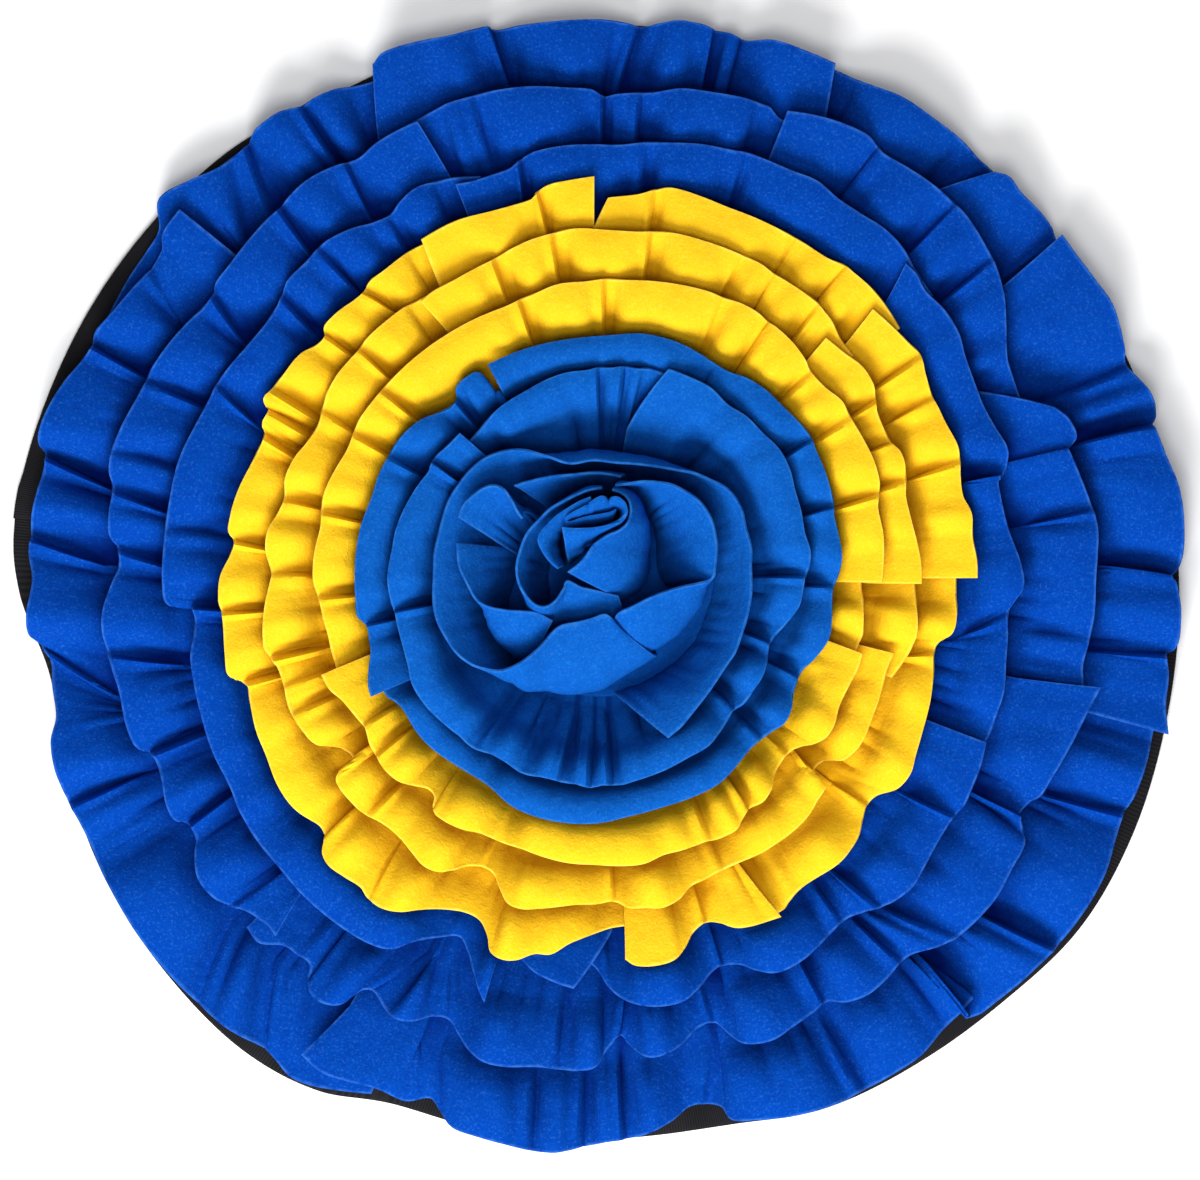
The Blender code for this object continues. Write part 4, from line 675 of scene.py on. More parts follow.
RING_1 = {
    "strip_a": (("over", 5), ("over", 5), (
        (344.8, 253, .90, 0), (347.5, 249, .80, 0), (350.5, 248, .70, .3),
        (352.5, 246, .35, -.7), (353.6, 250, .75, -.5), (357, 250, .90, .3),
        (359.5, 248, .70, .9), (360.4, 246, .15, .9), (361.6, 250, .60, .9), (365, 252, .85, 1),
        (369, 252, .95, 1), (372.5, 249, .90, .6), (375.5, 247, .95, .2), (375.4, 245, .10, .3),
        (376.6, 250, .45, 0), (379, 250, .75, 0), (382, 245, .35, 0), (384, 247, .60, 0),
        (388, 250, .85, 0), (391, 249, .90, 0), (394, 248, .85, 0), (396.8, 248, .85, -.6))),
    "strip_b": (("under", 5), ("over", 5), (
        (33.5, 243, .20, 0), (36.5, 245, .15, .2), (38, 247, .20, 0), (40, 247, .60, 0),
        (42.5, 246, .85, 1), (44.5, 247, .90, 2.5), (46, 244, .90, 3.8))),
    "strip_c": (("under", 6), ("under", 4), (
        (43.5, 241, .15, 2), (46.5, 244, .25, 2), (48, 244, .40, 1.5), (50.5, 245, .65, .5),
        (54, 245, .80, 0), (58, 245, .85, 0), (61, 243, .70, 0), (63, 242, .45, 0),
        (65.5, 242, .20, 0), (68.5, 242, .15, 0))),
    "strip_d": (("over", 5), ("over", 4), (
        (65.5, 244, .90, -1.8), (68, 244, .85, -1), (72, 244, .80, 0), (74.5, 241, .45, .2),
        (75.5, 241, .20, 0), (76.6, 242, .55, 0), (78.3, 242, .25, 0), (79.6, 243, .70, 0),
        (82, 243, .85, 0), (84.5, 240, .60, .8), (86, 239, .20, 1.5), (87.5, 240, .50, 1.5),
        (90, 241, .80, 1), (94, 241, .90, 0), (98, 241, .65, 0), (100.4, 241, .35, -.5),
        (101.5, 243, .15, -.8), (103, 243, .60, -.5), (105.5, 243, .85, 0), (108, 244, .80, 0),
        (110.5, 245, .90, .8), (112.5, 245, .95, 2), (113.8, 242, .90, 2.5))),
    "strip_e": (("under", 5), ("under", 4), (
        (110.8, 236, .15, 3), (114, 236, .15, 1.5), (116, 237, .35, .5), (118.5, 240, .70, 0),
        (120.5, 241, .85, 0), (122.3, 241, .60, 0), (124.5, 244, .85, 0), (127.3, 244, .75, .3),
        (128.8, 241.5, .25, 1.5), (130.5, 241, .30, 3), (133, 242, .60, 3), (136, 247, .55, 1),
        (139.2, 251, .30, -.5), (141.5, 243, .08, 0), (144, 241.5, .02, 0), (147, 241.5, 0, 0),
        (150, 241, 0, 0), (153.5, 240.5, 0, 0))),
    "strip_f": (("over", 5), ("under", 9), (
        (138.6, 241, .90, -.3), (141.5, 240, .80, 1), (143, 236, .25, 4), (145, 235, .35, 3),
        (148, 237, .75, 1), (151, 239, .85, 0), (153.8, 242, .70, .5), (155.3, 241, .25, .6),
        (157, 242, .60, .3), (160, 246, .85, 0), (163.5, 249, .95, 0), (166, 249, .90, 1),
        (167.3, 245, .20, 1.8), (169, 244, .50, 1), (171, 245, .80, .5), (173.5, 246, .80, .5),
        (175.6, 246, .15, 2), (177.3, 246, .50, 1.5), (180, 244, .80, 1), (183.5, 247, .95, 2),
        (185.3, 247, .60, 4), (186.5, 243, .15, 6), (188.5, 239, .20, 5), (191, 240, .45, 3.5),
        (194, 241, .70, 1.5), (196.3, 246, .85, .5), (199, 248, .95, 1), (201, 248, .80, 1.2),
        (203, 248, .35, 0), (205, 247, .60, 0), (207.5, 247, .50, 0), (209.5, 248, .55, 0),
        (213, 249, .90, 0), (218, 250.5, .95, -1), (223, 251, .80, -2), (226.5, 251, .40, -3),
        (229.5, 251, .75, -3), (232, 249.5, .60, -3.5), (234.2, 248, .20, -4),
        (236, 249.5, .40, -4), (238, 252, .30, -3), (240, 251, .25, -2), (243, 247, .15, 0),
        (246, 242.5, .10, 0))),
    "strip_g": (("over", 9), ("under", 5), (
        (237.8, 241, .95, 1.5), (240.5, 243, .90, 1.5), (243.5, 241, .80, 1.5),
        (246.5, 239, .60, 1.5), (249.5, 239.5, .25, -1), (251.8, 235, .20, -3),
        (253.3, 239, .45, -2.5), (255, 244, .75, -2.5), (257.5, 245, .90, -2),
        (260.5, 246, .90, -1), (263, 247, .65, -.5), (265.5, 247, .80, 0), (268.2, 244, .45, 0),
        (270.5, 242, .70, 0), (272.5, 241, .35, -.2), (275, 239, .65, 0), (277.5, 235, .50, .5),
        (279.7, 230, .20, 1), (281.4, 230.5, .10, 2), (283, 233, .45, 1.5),
        (283.8, 239, .70, .8), (286.5, 242, .90, 0), (290, 245, .95, 0), (294, 247, .85, 0),
        (297.3, 247, .45, -.5), (300, 247, .75, 0), (304, 246.5, .85, 0), (307.5, 243, .70, 0),
        (310, 242, .85, -.8), (311.6, 241, .90, -1.5), (310.4, 243, .40, -.6),
        (310, 246, .12, 0), (311.6, 249, .25, 0), (313.5, 249, .50, -.5), (316, 250, .80, -1),
        (319, 251, .90, -2), (321, 252, .45, -2), (323, 252, .75, -.5), (326.5, 252, .90, 0),
        (330, 251, .85, 0), (333.5, 248, .60, -.5), (336, 247, .20, -1.5),
        (337.6, 248, .60, -1.5), (341, 248, .70, 0), (345, 247, .30, 0), (348, 246, .15, 0))),
}
blue_fleece = fleece("blue_fleece", BLUE, BLUE_DEEP, BLUE_CUT_AND_HIGHLIGHT, BLUE_PAINTED_SHADE, BLUE_NAP)
sew_ring(0, RING_1, blue_fleece)


# Second and third rings.
# The same blue fleece strips, each ring sewn closer in so that it covers the last one's seam.
# Their free edges stand higher, because the ring outside props them up.
RING_2 = {
    "strip_a": (("under", 6), ("over", 8), (
        (344.5, 213, .20, 0), (347.3, 213, .25, 0), (350, 211, .60, 0), (353, 212, .40, 0),
        (356, 213, .70, 0), (360, 213, .85, 0), (363, 214, .90, 0), (366, 215, .85, .5),
        (368.3, 214, .45, -1), (371, 212, .75, 0), (374, 210, .90, 0), (375.6, 209, .90, .2),
        (375.6, 208, .20, 0), (376.8, 214, .50, 1), (379, 213, .75, 3),
        (380.8, 209, .85, 5.5))),
    "strip_b": (("under", 8), ("over", 4), (
        (19.5, 195, .15, 3), (23.4, 197, .20, 2), (26, 198, .50, 0), (29, 200, .75, 0),
        (32, 206, .70, 0), (35, 212, .85, 0), (37.5, 216, .75, 0), (39.3, 218, .45, 0),
        (42, 220, .85, 0), (45, 222, .80, .3), (46.7, 222, .45, 0), (49.5, 222, .85, 0),
        (53, 221, .90, 0), (56, 220, .70, .8), (57.3, 221, .30, .7), (59, 223, .70, 0),
        (62, 222, .85, 0), (65, 220, .90, 0), (68.2, 217, .85, 0))),
    "strip_c": (("under", 5), ("under", 4), (
        (65.5, 213, .15, 0), (68.6, 213, .20, .5), (70.2, 216, .50, .3), (71.3, 216, .75, 0),
        (73.5, 216, .90, 0), (77, 215, .85, 0), (80.5, 214, .90, 0), (83.5, 211, .60, .4),
        (85.5, 210, .45, 0), (88, 209, .75, 0), (89.6, 208, .30, .2), (91.2, 211, .60, 0),
        (94, 212, .85, 0), (98, 214, .90, 0), (102, 215, .85, 0), (104.8, 215, .60, 0),
        (107.5, 215, .75, 0), (109.8, 214, .40, 0), (111.5, 213, .20, 0), (114, 212, .10, 0))),
    "strip_d": (("over", 4), ("over", 4), (
        (111.7, 212, .90, -1.4), (113.5, 212, .85, -1), (117, 211, .80, 0),
        (119.5, 209, .60, .3), (121.3, 210, .30, 1), (123.5, 212, .65, .5),
        (126.5, 213, .85, 0), (129.3, 212, .80, 0), (130.8, 211, .30, .8),
        (132.8, 211, .65, .3), (136, 210, .85, 0), (139.5, 209, .85, 0), (142, 209, .70, 2),
        (143.5, 207, .20, 3), (145.5, 207, .40, 1.5), (148, 209, .75, .5), (151, 211, .90, 0),
        (154.5, 213, .80, 0), (156.3, 213, .55, 0), (159, 214, .85, 0), (162.5, 216, .95, 0),
        (165.3, 217, .75, 0), (167.5, 216, .85, 1), (169.5, 213, .45, 2), (172, 213, .80, .5),
        (174.6, 212, .75, 1), (176.2, 208, .20, 2), (178.3, 207, .40, 1.5),
        (180.5, 210, .75, 1), (183.5, 214, .95, 1), (186, 215, .90, 2.5), (188.3, 214, .35, 3),
        (190.5, 213, .65, 1.5), (193.5, 212, .85, 0), (197, 213, .85, 0), (199.8, 212, .75, 0),
        (200.8, 208, .25, -.5), (202.3, 206, .35, 0), (204.5, 207, .70, 0),
        (207.5, 210, .90, 0), (209.4, 210, .75, .2), (210.6, 206, .15, -.8),
        (212.5, 206, .45, 0), (214, 210, .75, 0), (216.5, 215, .95, 0), (219.3, 215, .90, 1),
        (221.3, 212, .35, 1.5), (223.3, 208, .65, 0), (226, 206, .80, -.5),
        (227.7, 207, .85, -1.6))),
    "strip_e": (("under", 5), ("over", 5), (
        (224.5, 213, .10, 0), (226.8, 214, .15, 0), (229, 208, .20, 0), (231, 207, .45, 0),
        (233, 207, .60, .2), (233.9, 213, .25, .3), (235.2, 217, .70, 0), (237, 217, .90, .5),
        (238.6, 213, .80, 1.5), (239.8, 204, .30, 3), (241.2, 202, .15, 4),
        (243.2, 206, .40, 3), (245, 208, .75, 1.3), (247, 206, .70, -.5), (249, 201, .35, -1.5),
        (251, 200, .20, -2), (252.8, 205, .40, -2), (254.5, 210, .70, 0), (256.5, 213, .90, 0),
        (259, 213, .85, 0), (262.5, 211, .65, 0), (265.3, 211, .45, 0), (267.5, 211, .80, 0),
        (269.5, 209, .80, 0), (271, 201, .35, .5), (272.5, 196, .10, 1), (274, 202, .40, 1),
        (275.7, 206, .75, 0), (277.5, 206, .80, 0), (279.8, 203, .60, 0), (282.5, 197, .25, 0),
        (284.5, 197, .15, 0), (286, 204, .40, 1), (287.6, 209, .80, .3), (290.5, 211, .95, 0),
        (293.5, 209, .80, 0), (296.5, 207, .50, 0), (298.3, 206, .40, 0), (300.3, 210, .80, 0),
        (303, 212, .90, 0), (305.8, 211, .75, -1), (308.3, 209, .45, -1.5),
        (310.3, 210, .70, -2), (312.5, 214, .70, -3.5), (315, 217, .50, -4),
        (318, 218, .85, -2.5), (321.5, 218, .95, -1), (325, 216, .90, 0), (328, 215, .85, 1),
        (329.4, 211, .40, .3), (330.8, 207, .15, -.8), (332.6, 208, .40, 0),
        (334, 211, .60, -.5), (336.5, 212, .85, 0), (340, 214, .90, 0), (343.5, 216, .90, 0),
        (346, 218, .85, 0), (347.9, 220, .85, -1))),
}
RING_3 = {
    "strip_a": (("under", 6), ("over", 8), (
        (334, 178, .15, 0), (338, 180, .25, 0), (341, 180, .65, 0), (344.5, 180, .80, 0),
        (348.5, 178, .75, 0), (352, 177, .65, -2), (355.3, 176, .40, -5), (357.3, 179, .60, -6),
        (359.3, 182, .80, -4), (362, 181, .85, -1), (364.5, 179, .75, 0), (367, 177, .65, 0),
        (370, 176, .75, 0), (373.5, 176, .90, .2), (374.4, 178, .20, 0), (376, 182, .50, 0),
        (378, 184, .80, 0), (381, 182, .85, 0), (384.5, 181, .75, 0), (388, 182, .70, 0),
        (391.5, 184, .75, 0), (394.5, 187, .85, 0), (398, 188, .80, 0), (401.5, 187, .75, -1),
        (404, 189, .85, -2), (406, 189, .85, -3))),
    "strip_b": (("under", 6), ("over", 4), (
        (40.5, 188, .15, -2), (44.5, 190, .20, -2), (47.5, 193, .55, -1), (51, 194, .85, 0),
        (54.5, 193, .85, 0), (58, 193, .80, 0), (61.5, 195, .85, 0), (65, 194, .85, 0),
        (69, 194, .75, 0), (71, 194, .40, 0), (73.2, 193, .70, 0), (77, 192, .85, 0),
        (81, 190, .85, 0), (84, 189, .50, 0), (87.5, 187, .75, 0), (91, 187, .85, 0),
        (95, 187, .90, 0), (98.8, 186, .80, 1.2), (100.6, 184, .30, 1.2), (102.5, 181, .50, 0),
        (105.5, 180, .75, 0), (108, 180, .80, 0), (110.1, 181, .85, -.2))),
    "strip_c": (("under", 5), ("free", 0), (
        (106.5, 181, .15, 0), (110, 184, .20, 0), (112.3, 185, .60, 0), (115, 186, .85, 0),
        (117.7, 184, .75, 0), (120, 181, .50, 0), (122.5, 182, .60, 0), (125.5, 185, .85, 0),
        (128.5, 187, .80, .5), (130.4, 187, .50, -.5), (133, 186, .75, 0), (136, 186, .85, 1),
        (137.9, 184, .30, 1.3), (139.8, 182, .40, .5), (143, 181, .75, 0), (147, 182, .85, 0),
        (150.5, 184, .80, 1.5), (153, 185, .40, 3), (155.5, 185, .70, 1.5), (159, 186, .85, 0),
        (164, 188, .90, 0), (169, 188, .85, 0), (173.3, 188, .60, 0), (177, 188, .85, 0),
        (180.5, 188, .90, .5), (182.9, 187, .90, 1), (183.6, 182, .50, .5),
        (183.4, 177, .10, 1), (185, 175, .15, .8), (187.5, 176, .50, 2), (190.5, 179, .75, 5),
        (194.5, 180, .80, 6), (199, 181, .80, 4), (204, 182, .85, 1), (209, 182, .80, 0),
        (213, 184, .85, 0), (217.5, 185, .60, 0), (221.5, 185, .80, 0), (227, 186, .85, 0),
        (233, 186, .80, 0), (237.5, 185, .85, 0), (240.5, 182, .80, 0), (243, 174, .55, 0),
        (246, 168, .30, 0), (248.5, 165, .15, 0), (250.5, 170, .30, .5), (252.3, 178, .60, .5),
        (253.7, 184, .80, .4), (254.7, 188, .80, .1))),
    "strip_d": (("free", 0), ("over", 8), (
        (256.5, 165, .15, 0), (258.5, 167, .30, 0), (260.5, 171, .50, 1), (263.5, 174, .70, 3),
        (266.3, 176, .80, 5))),
    "strip_e": (("under", 8), ("over", 5), (
        (265.5, 163, .10, 0), (269, 166, .15, 0), (271, 174, .35, 0), (273, 180, .60, 0),
        (276, 184, .80, 0), (279, 185, .90, 0), (281.5, 184, .85, 0), (283.8, 180, .60, 0),
        (286, 175, .30, 0), (287.7, 174, .15, 0), (290, 176, .35, 0), (292, 181, .70, 0),
        (294.5, 185, .90, 0), (298, 185, .90, 0), (301, 183, .75, 0), (303.5, 181, .45, 0),
        (306, 180, .40, 0), (308.3, 182, .70, -.5), (310.5, 185, .50, -2),
        (312.5, 187, .85, -1.5), (315.5, 188, .95, 0), (318.5, 186, .85, 0),
        (321.5, 184, .75, 0), (324.5, 183, .60, -.5), (326.3, 183, .40, -1.5),
        (328.3, 184, .75, 0), (331, 183, .85, 0), (334, 182, .85, 0), (337.2, 180, .90, -.3))),
}
sew_ring(1, RING_2, blue_fleece)
sew_ring(2, RING_3, blue_fleece)


# Yellow rings.
# Three rings of golden yellow fleece, cut, pleated and sewn like the blue ones. The nap is
# closer, and the shade painted into the folds is a warm ochre.
YELLOW = (0.86, 0.53, 0.016, 1)
YELLOW_DEEP = (0.76, 0.41, 0.007, 1)
# paler colour along a cut, partly a painted highlight, and the painted highlight on the curl
# tips
YELLOW_CUT_AND_HIGHLIGHT = (1.0, 0.70, 0.09, 1)
# colour of the shade painted into the folds
YELLOW_PAINTED_SHADE = (0.56, 0.27, 0.003, 1)
YELLOW_NAP = 0.6
RING_4 = {
    "strip_a": (("over", 5), ("over", 5), (
        (.3, 162, .85, 0), (3, 162, .80, 0), (6.5, 161, .75, 0), (10, 162, .85, 0),
        (13, 160, .75, 0), (16, 161, .65, 1), (18.5, 163, .50, -.5), (20.7, 164, .85, 0),
        (24, 163, .80, 0), (27, 163, .60, .5), (29, 163, .45, -.5), (32, 165, .80, 0),
        (35, 168, .50, 0), (37.5, 167, .80, 0), (41, 166, .85, 0), (44.8, 165, .90, -1.3))),
    "strip_b": (("under", 6), ("free", 0), (
        (40, 168, .15, 0), (43.8, 170, .25, 0), (47, 171, .65, 0), (50.3, 171, .70, 1),
        (52, 171, .45, 0), (55, 169, .80, 0), (58.5, 169, .60, 1), (60.5, 169, .35, -.5),
        (63, 169, .75, 0), (67, 169, .85, 0), (71, 169, .85, 0), (75, 170, .85, 0),
        (79.5, 171, .85, 0), (82, 169, .45, 0), (84.7, 166, .70, 0), (88.8, 164, .85, 4.5))),
    "strip_c": (("free", 0), ("over", 5), (
        (90.8, 173, .90, .2), (94, 172, .85, 0), (97.3, 171, .75, .5), (99, 169, .35, -1),
        (100.3, 166, .50, 0), (103.5, 165, .75, 0), (107, 165, .85, 0), (112, 166, .85, 0),
        (117.7, 165, .90, 1.2))),
    "strip_d": (("under", 6), ("under", 5), (
        (113.5, 162, .15, 0), (118.2, 163, .25, 0), (121, 163, .65, 0), (124.5, 162, .80, 0),
        (127.5, 162, .70, -1), (129.5, 160, .25, -3), (131.5, 160, .60, -2),
        (134.5, 161, .80, 0), (137.3, 161, .70, 0), (138.4, 158, .30, -1), (140.3, 158, .60, 0),
        (143, 161, .85, 0), (147, 162, .85, 0), (149.8, 163, .50, 0), (151.7, 164, .90, 0),
        (152.9, 160, .45, 0), (155, 160, .70, 1), (156.8, 157, .20, 1.5), (159, 157, .50, 0),
        (162, 158, .75, 0), (166, 160, .80, 0), (170, 161, .85, 0), (172.5, 161, .75, 1),
        (174, 158, .35, 1), (176, 159, .60, 0), (179.5, 163, .80, 0), (183, 164, .85, .8),
        (185, 163, .35, .5), (187.3, 163, .70, 0), (191, 164, .85, 0), (194, 165, .85, .5),
        (195.3, 162, .40, 0), (196.7, 158, .30, 0), (199, 159, .65, 0), (203.5, 161, .85, 0),
        (208, 162, .80, 0), (212.5, 164, .85, 0), (216.3, 164, .85, 0), (219, 162, .80, 0),
        (221.3, 160, .50, 0), (223.2, 162, .40, 0), (224.5, 167, .70, 0), (226.5, 169, .90, 0),
        (229.3, 168, .80, 0), (232, 167, .65, 0), (234, 169, .35, -1.5), (236.5, 169, .80, -1),
        (239, 166, .80, 0), (242, 160, .50, 0), (245, 156, .25, 0), (248, 154, .15, 2),
        (250.5, 155, .20, 1), (252.3, 160, .35, -1), (253.5, 166, .60, 0), (255.3, 168, .90, 0),
        (257.5, 167, .85, 0), (260, 163, .75, 0), (262.5, 162, .75, 0), (265, 157, .70, 0),
        (268, 153, .55, 0), (271, 150, .30, 0), (273.5, 149, .20, 0), (277.5, 149, .15, 0))),
    "strip_e": (("over", 5), ("over", 5), (
        (273.8, 163, .85, .5), (275.3, 166, .90, 0), (278, 167, .90, 0), (281, 166, .85, 0),
        (283, 162, .60, 0), (285, 156, .35, 0), (287.2, 154, .20, 0), (289.2, 156, .40, 0),
        (291.2, 160, .70, 0), (293.5, 162, .85, 0), (296, 163, .85, -1),
        (298.3, 164, .90, -2))),
    "strip_f": (("under", 6), ("under", 6), (
        (293.5, 160, .15, -1), (298.5, 162, .20, -1), (300.5, 160, .50, 0), (303, 158, .60, .5),
        (305.7, 158, .75, 0), (310, 159, .85, 0), (313, 158, .75, 0), (315.5, 156, .55, 0),
        (318, 152, .35, 0), (320, 150, .20, -1.5), (322.3, 151, .40, -3), (325, 156, .75, -1.5),
        (328, 157, .90, 0), (331, 155, .85, 0), (335, 153, .75, 0), (340, 151, .80, 0),
        (344, 149, .65, 0), (347.3, 147, .30, -2), (349.5, 148, .50, -2), (351.5, 153, .80, 0),
        (354.3, 154, .75, 0), (357.5, 153, .40, 0), (361, 153, .20, 0), (364.5, 153, .15, 0))),
}
RING_5 = {
    "strip_a": (("over", 5), ("over", 5), (
        (-.7, 138, .85, 0), (3, 138, .80, 0), (7, 137, .75, 0), (11, 136, .80, 0),
        (15, 136, .75, 0), (18, 138, .60, 0), (21, 140, .85, 0), (23.3, 140, .80, 0),
        (25.3, 138, .50, 0), (28, 138, .70, 0), (31, 139, .65, .7), (33, 141, .40, 0),
        (35.3, 144, .85, 0), (39, 145, .85, 0), (43, 143, .85, 0), (47, 142, .90, -.5))),
    "strip_b": (("under", 6), ("over", 5), (
        (41.5, 145, .15, 0), (45, 146, .20, 0), (48, 149, .50, 0), (50, 150, .55, .8),
        (52, 151, .45, -.8), (55, 151, .80, 0), (58.5, 151, .65, .8), (60.5, 151, .40, -.4),
        (63, 152, .80, 0), (66, 152, .45, 1.5), (69, 152, .80, 0), (73, 152, .85, 0),
        (78, 152, .80, 0), (81.5, 151, .45, 0), (84.5, 150, .80, 0), (89, 150, .85, 0),
        (94, 151, .85, 0), (97.7, 150, .45, 0), (101, 149, .80, 0), (105, 147, .75, 0),
        (108.3, 145, .35, 0), (111.5, 144, .75, 0), (116, 143, .85, 0), (120, 143, .85, 0),
        (122.8, 142, .90, -1.8))),
    "strip_c": (("under", 7), ("over", 5), (
        (117, 142, .15, 0), (123, 143, .25, 0), (126, 144, .70, 0), (130, 144, .85, 0),
        (134, 144, .80, 0), (136.3, 143, .45, 0), (138.7, 143, .75, 0), (142, 143, .80, 0),
        (145.5, 142, .65, 0), (148.3, 140, .35, 0), (151.5, 138, .50, 0), (155, 139, .75, 0),
        (158, 141, .85, 0), (162, 142, .85, 0), (165.3, 140, .40, 0), (168, 141, .60, 0),
        (171.5, 144, .85, 0), (175, 144, .80, 0), (178.5, 141, .60, 0), (181, 142, .70, 0),
        (184, 144, .80, 0), (188, 146, .90, 0), (191.3, 147, .85, 0), (193.5, 145, .30, 0),
        (195.5, 143, .60, 0), (198.5, 143, .50, 0), (201, 144, .65, 0), (204, 144, .60, 0),
        (207, 143, .80, 0), (209.7, 141, .80, 0), (212, 135, .50, 0), (214, 131, .20, 0),
        (215.8, 131, .10, .4), (216.7, 134, .20, .5), (216.5, 138, .50, .8),
        (217.2, 142, .70, .3), (219, 143, .90, 0), (222.5, 143, .85, 0), (225.3, 142, .50, 0),
        (228.5, 140, .70, 0), (232, 140, .75, 0), (235.3, 142, .85, 0), (238.3, 144, .90, 0),
        (241, 143, .85, 0), (243.3, 139, .60, 0), (245.3, 135, .35, 0), (247.7, 133, .20, 1),
        (250, 134, .30, 0), (252, 139, .60, 0), (254, 144, .75, .8), (256.5, 145, .90, 0),
        (260, 143, .85, 0), (265, 140, .75, 0), (269.5, 139, .60, 0), (272.5, 138, .45, 0),
        (275, 141, .65, 0), (278, 142, .85, 0), (281, 143, .90, 0), (284, 141, .75, 0),
        (286.5, 137, .60, 0), (289.5, 136, .50, 0), (293, 135, .35, 0), (296.5, 135, .55, 0),
        (300, 136, .75, 0), (303.5, 136, .80, 0), (307.5, 136, .80, 0), (311.5, 135, .85, 0),
        (314.5, 133, .90, 0), (317.3, 131, .95, 0), (315.9, 127, .45, .5), (316.4, 124, .15, 1),
        (318.4, 123, .10, 0), (320.3, 123, .20, -.5), (322, 126, .40, -.5),
        (323.7, 130, .65, 0), (326.5, 132, .85, 0), (329.5, 132, .90, 0), (333, 131, .85, 0),
        (338, 130, .80, 0), (342.5, 129, .85, 0), (346, 130, .90, 0))),
    "strip_d": (("under", 6), ("under", 5), (
        (341.5, 132, .15, 0), (346.3, 136, .20, -1), (348, 137, .40, -2.5),
        (350.3, 138, .70, -2), (353.5, 137, .80, 0), (356, 136, .60, 0), (359.5, 135, .22, 0),
        (363.5, 135, .15, 0))),
}
RING_6 = {
    "strip_a": (("over", 5), ("under", 5), (
        (-.5, 121, .85, 0), (4, 122, .80, 0), (9, 123, .80, 0), (14, 123, .75, 0),
        (17, 125, .45, 0), (19.3, 127, .80, 0), (23.5, 128, .85, 0), (28.5, 128, .75, 0),
        (33, 128, .45, 0), (36.5, 129, .80, 0), (40.5, 127, .75, 0), (44.5, 127, .40, .5),
        (47, 129, .80, 0), (51, 131, .85, 0), (55, 132, .80, 0), (57, 132, .25, 0),
        (59.5, 133, .75, 0), (63, 133, .80, 0), (66.3, 132, .40, 0), (69.5, 132, .80, 0),
        (75, 131, .85, 0), (80, 130, .80, 0), (85, 129, .80, 0), (89, 129, .45, 0),
        (93, 128, .80, 0), (98, 128, .80, 0), (102.5, 126, .75, 0), (106, 125, .40, 0),
        (109.5, 124, .80, 0), (115, 124, .85, 0), (122, 124, .85, 0), (130, 124, .85, 0),
        (136, 124, .80, 0), (139, 124, .40, 0), (142.5, 124, .80, 0), (146.3, 124, .75, 0),
        (149.3, 123, .35, 0), (153, 122, .70, 0), (157.5, 123, .80, 0), (162.5, 124, .85, 0),
        (166.3, 123, .35, 0), (169.7, 122, .75, 0), (175, 123, .80, 0), (180, 123, .80, 0),
        (183.5, 121, .40, 0), (187, 120, .75, 0), (191.5, 119, .70, 0), (195, 119, .40, 0),
        (198.5, 119, .20, 0), (203, 119, .15, 0))),
    "strip_b": (("over", 5), ("over", 5), (
        (198.8, 126, .85, -1), (202, 125, .80, 0), (205, 122, .80, 0), (209, 120, .70, 0),
        (212, 119, .60, 0), (215, 121, .80, 0), (218, 122, .40, 0), (221.5, 123, .80, 0),
        (225, 122, .80, 0), (227.7, 119, .50, 0), (230.5, 116, .40, 0), (232.7, 117, .50, 0),
        (234.2, 122, .35, -.8), (237, 123, .85, 0), (241, 122, .85, 0), (245, 120, .75, 0),
        (249.3, 120, .50, 0), (253.5, 120, .80, 0), (258, 121, .85, 0), (263.5, 122, .85, 0),
        (269, 122, .85, 0), (275, 123, .85, 0), (279, 123, .85, 0), (283, 121, .80, 0),
        (287.5, 121, .80, 0), (292, 121, .60, 0), (295, 122, .65, 0), (298.5, 122, .85, 0),
        (301, 119, .60, 0), (303.3, 117, .40, -.5), (306.5, 118, .75, 0), (309.3, 116, .70, 0),
        (312, 112, .45, 0), (315, 110, .20, 0), (318, 110, .15, 0), (320.3, 112, .30, -1),
        (322.3, 115, .60, -1), (325, 118, .85, 0), (328.3, 118, .90, 0), (332.3, 116, .80, 0),
        (337, 116, .85, 0), (341, 117, .85, 0), (344.3, 117, .90, 1))),
    "strip_c": (("under", 6), ("under", 6), (
        (340, 113, .15, 0), (345.3, 114, .20, 0), (348.5, 115, .60, 0), (352.5, 114, .80, 0),
        (356, 113, .50, 0), (359.5, 112, .22, 0), (364.5, 113, .15, 0))),
}
yellow_fleece = fleece(
    "yellow_fleece", YELLOW, YELLOW_DEEP, YELLOW_CUT_AND_HIGHLIGHT, YELLOW_PAINTED_SHADE, YELLOW_NAP)
sew_ring(3, RING_4, yellow_fleece)
sew_ring(4, RING_5, yellow_fleece)
sew_ring(5, RING_6, yellow_fleece)


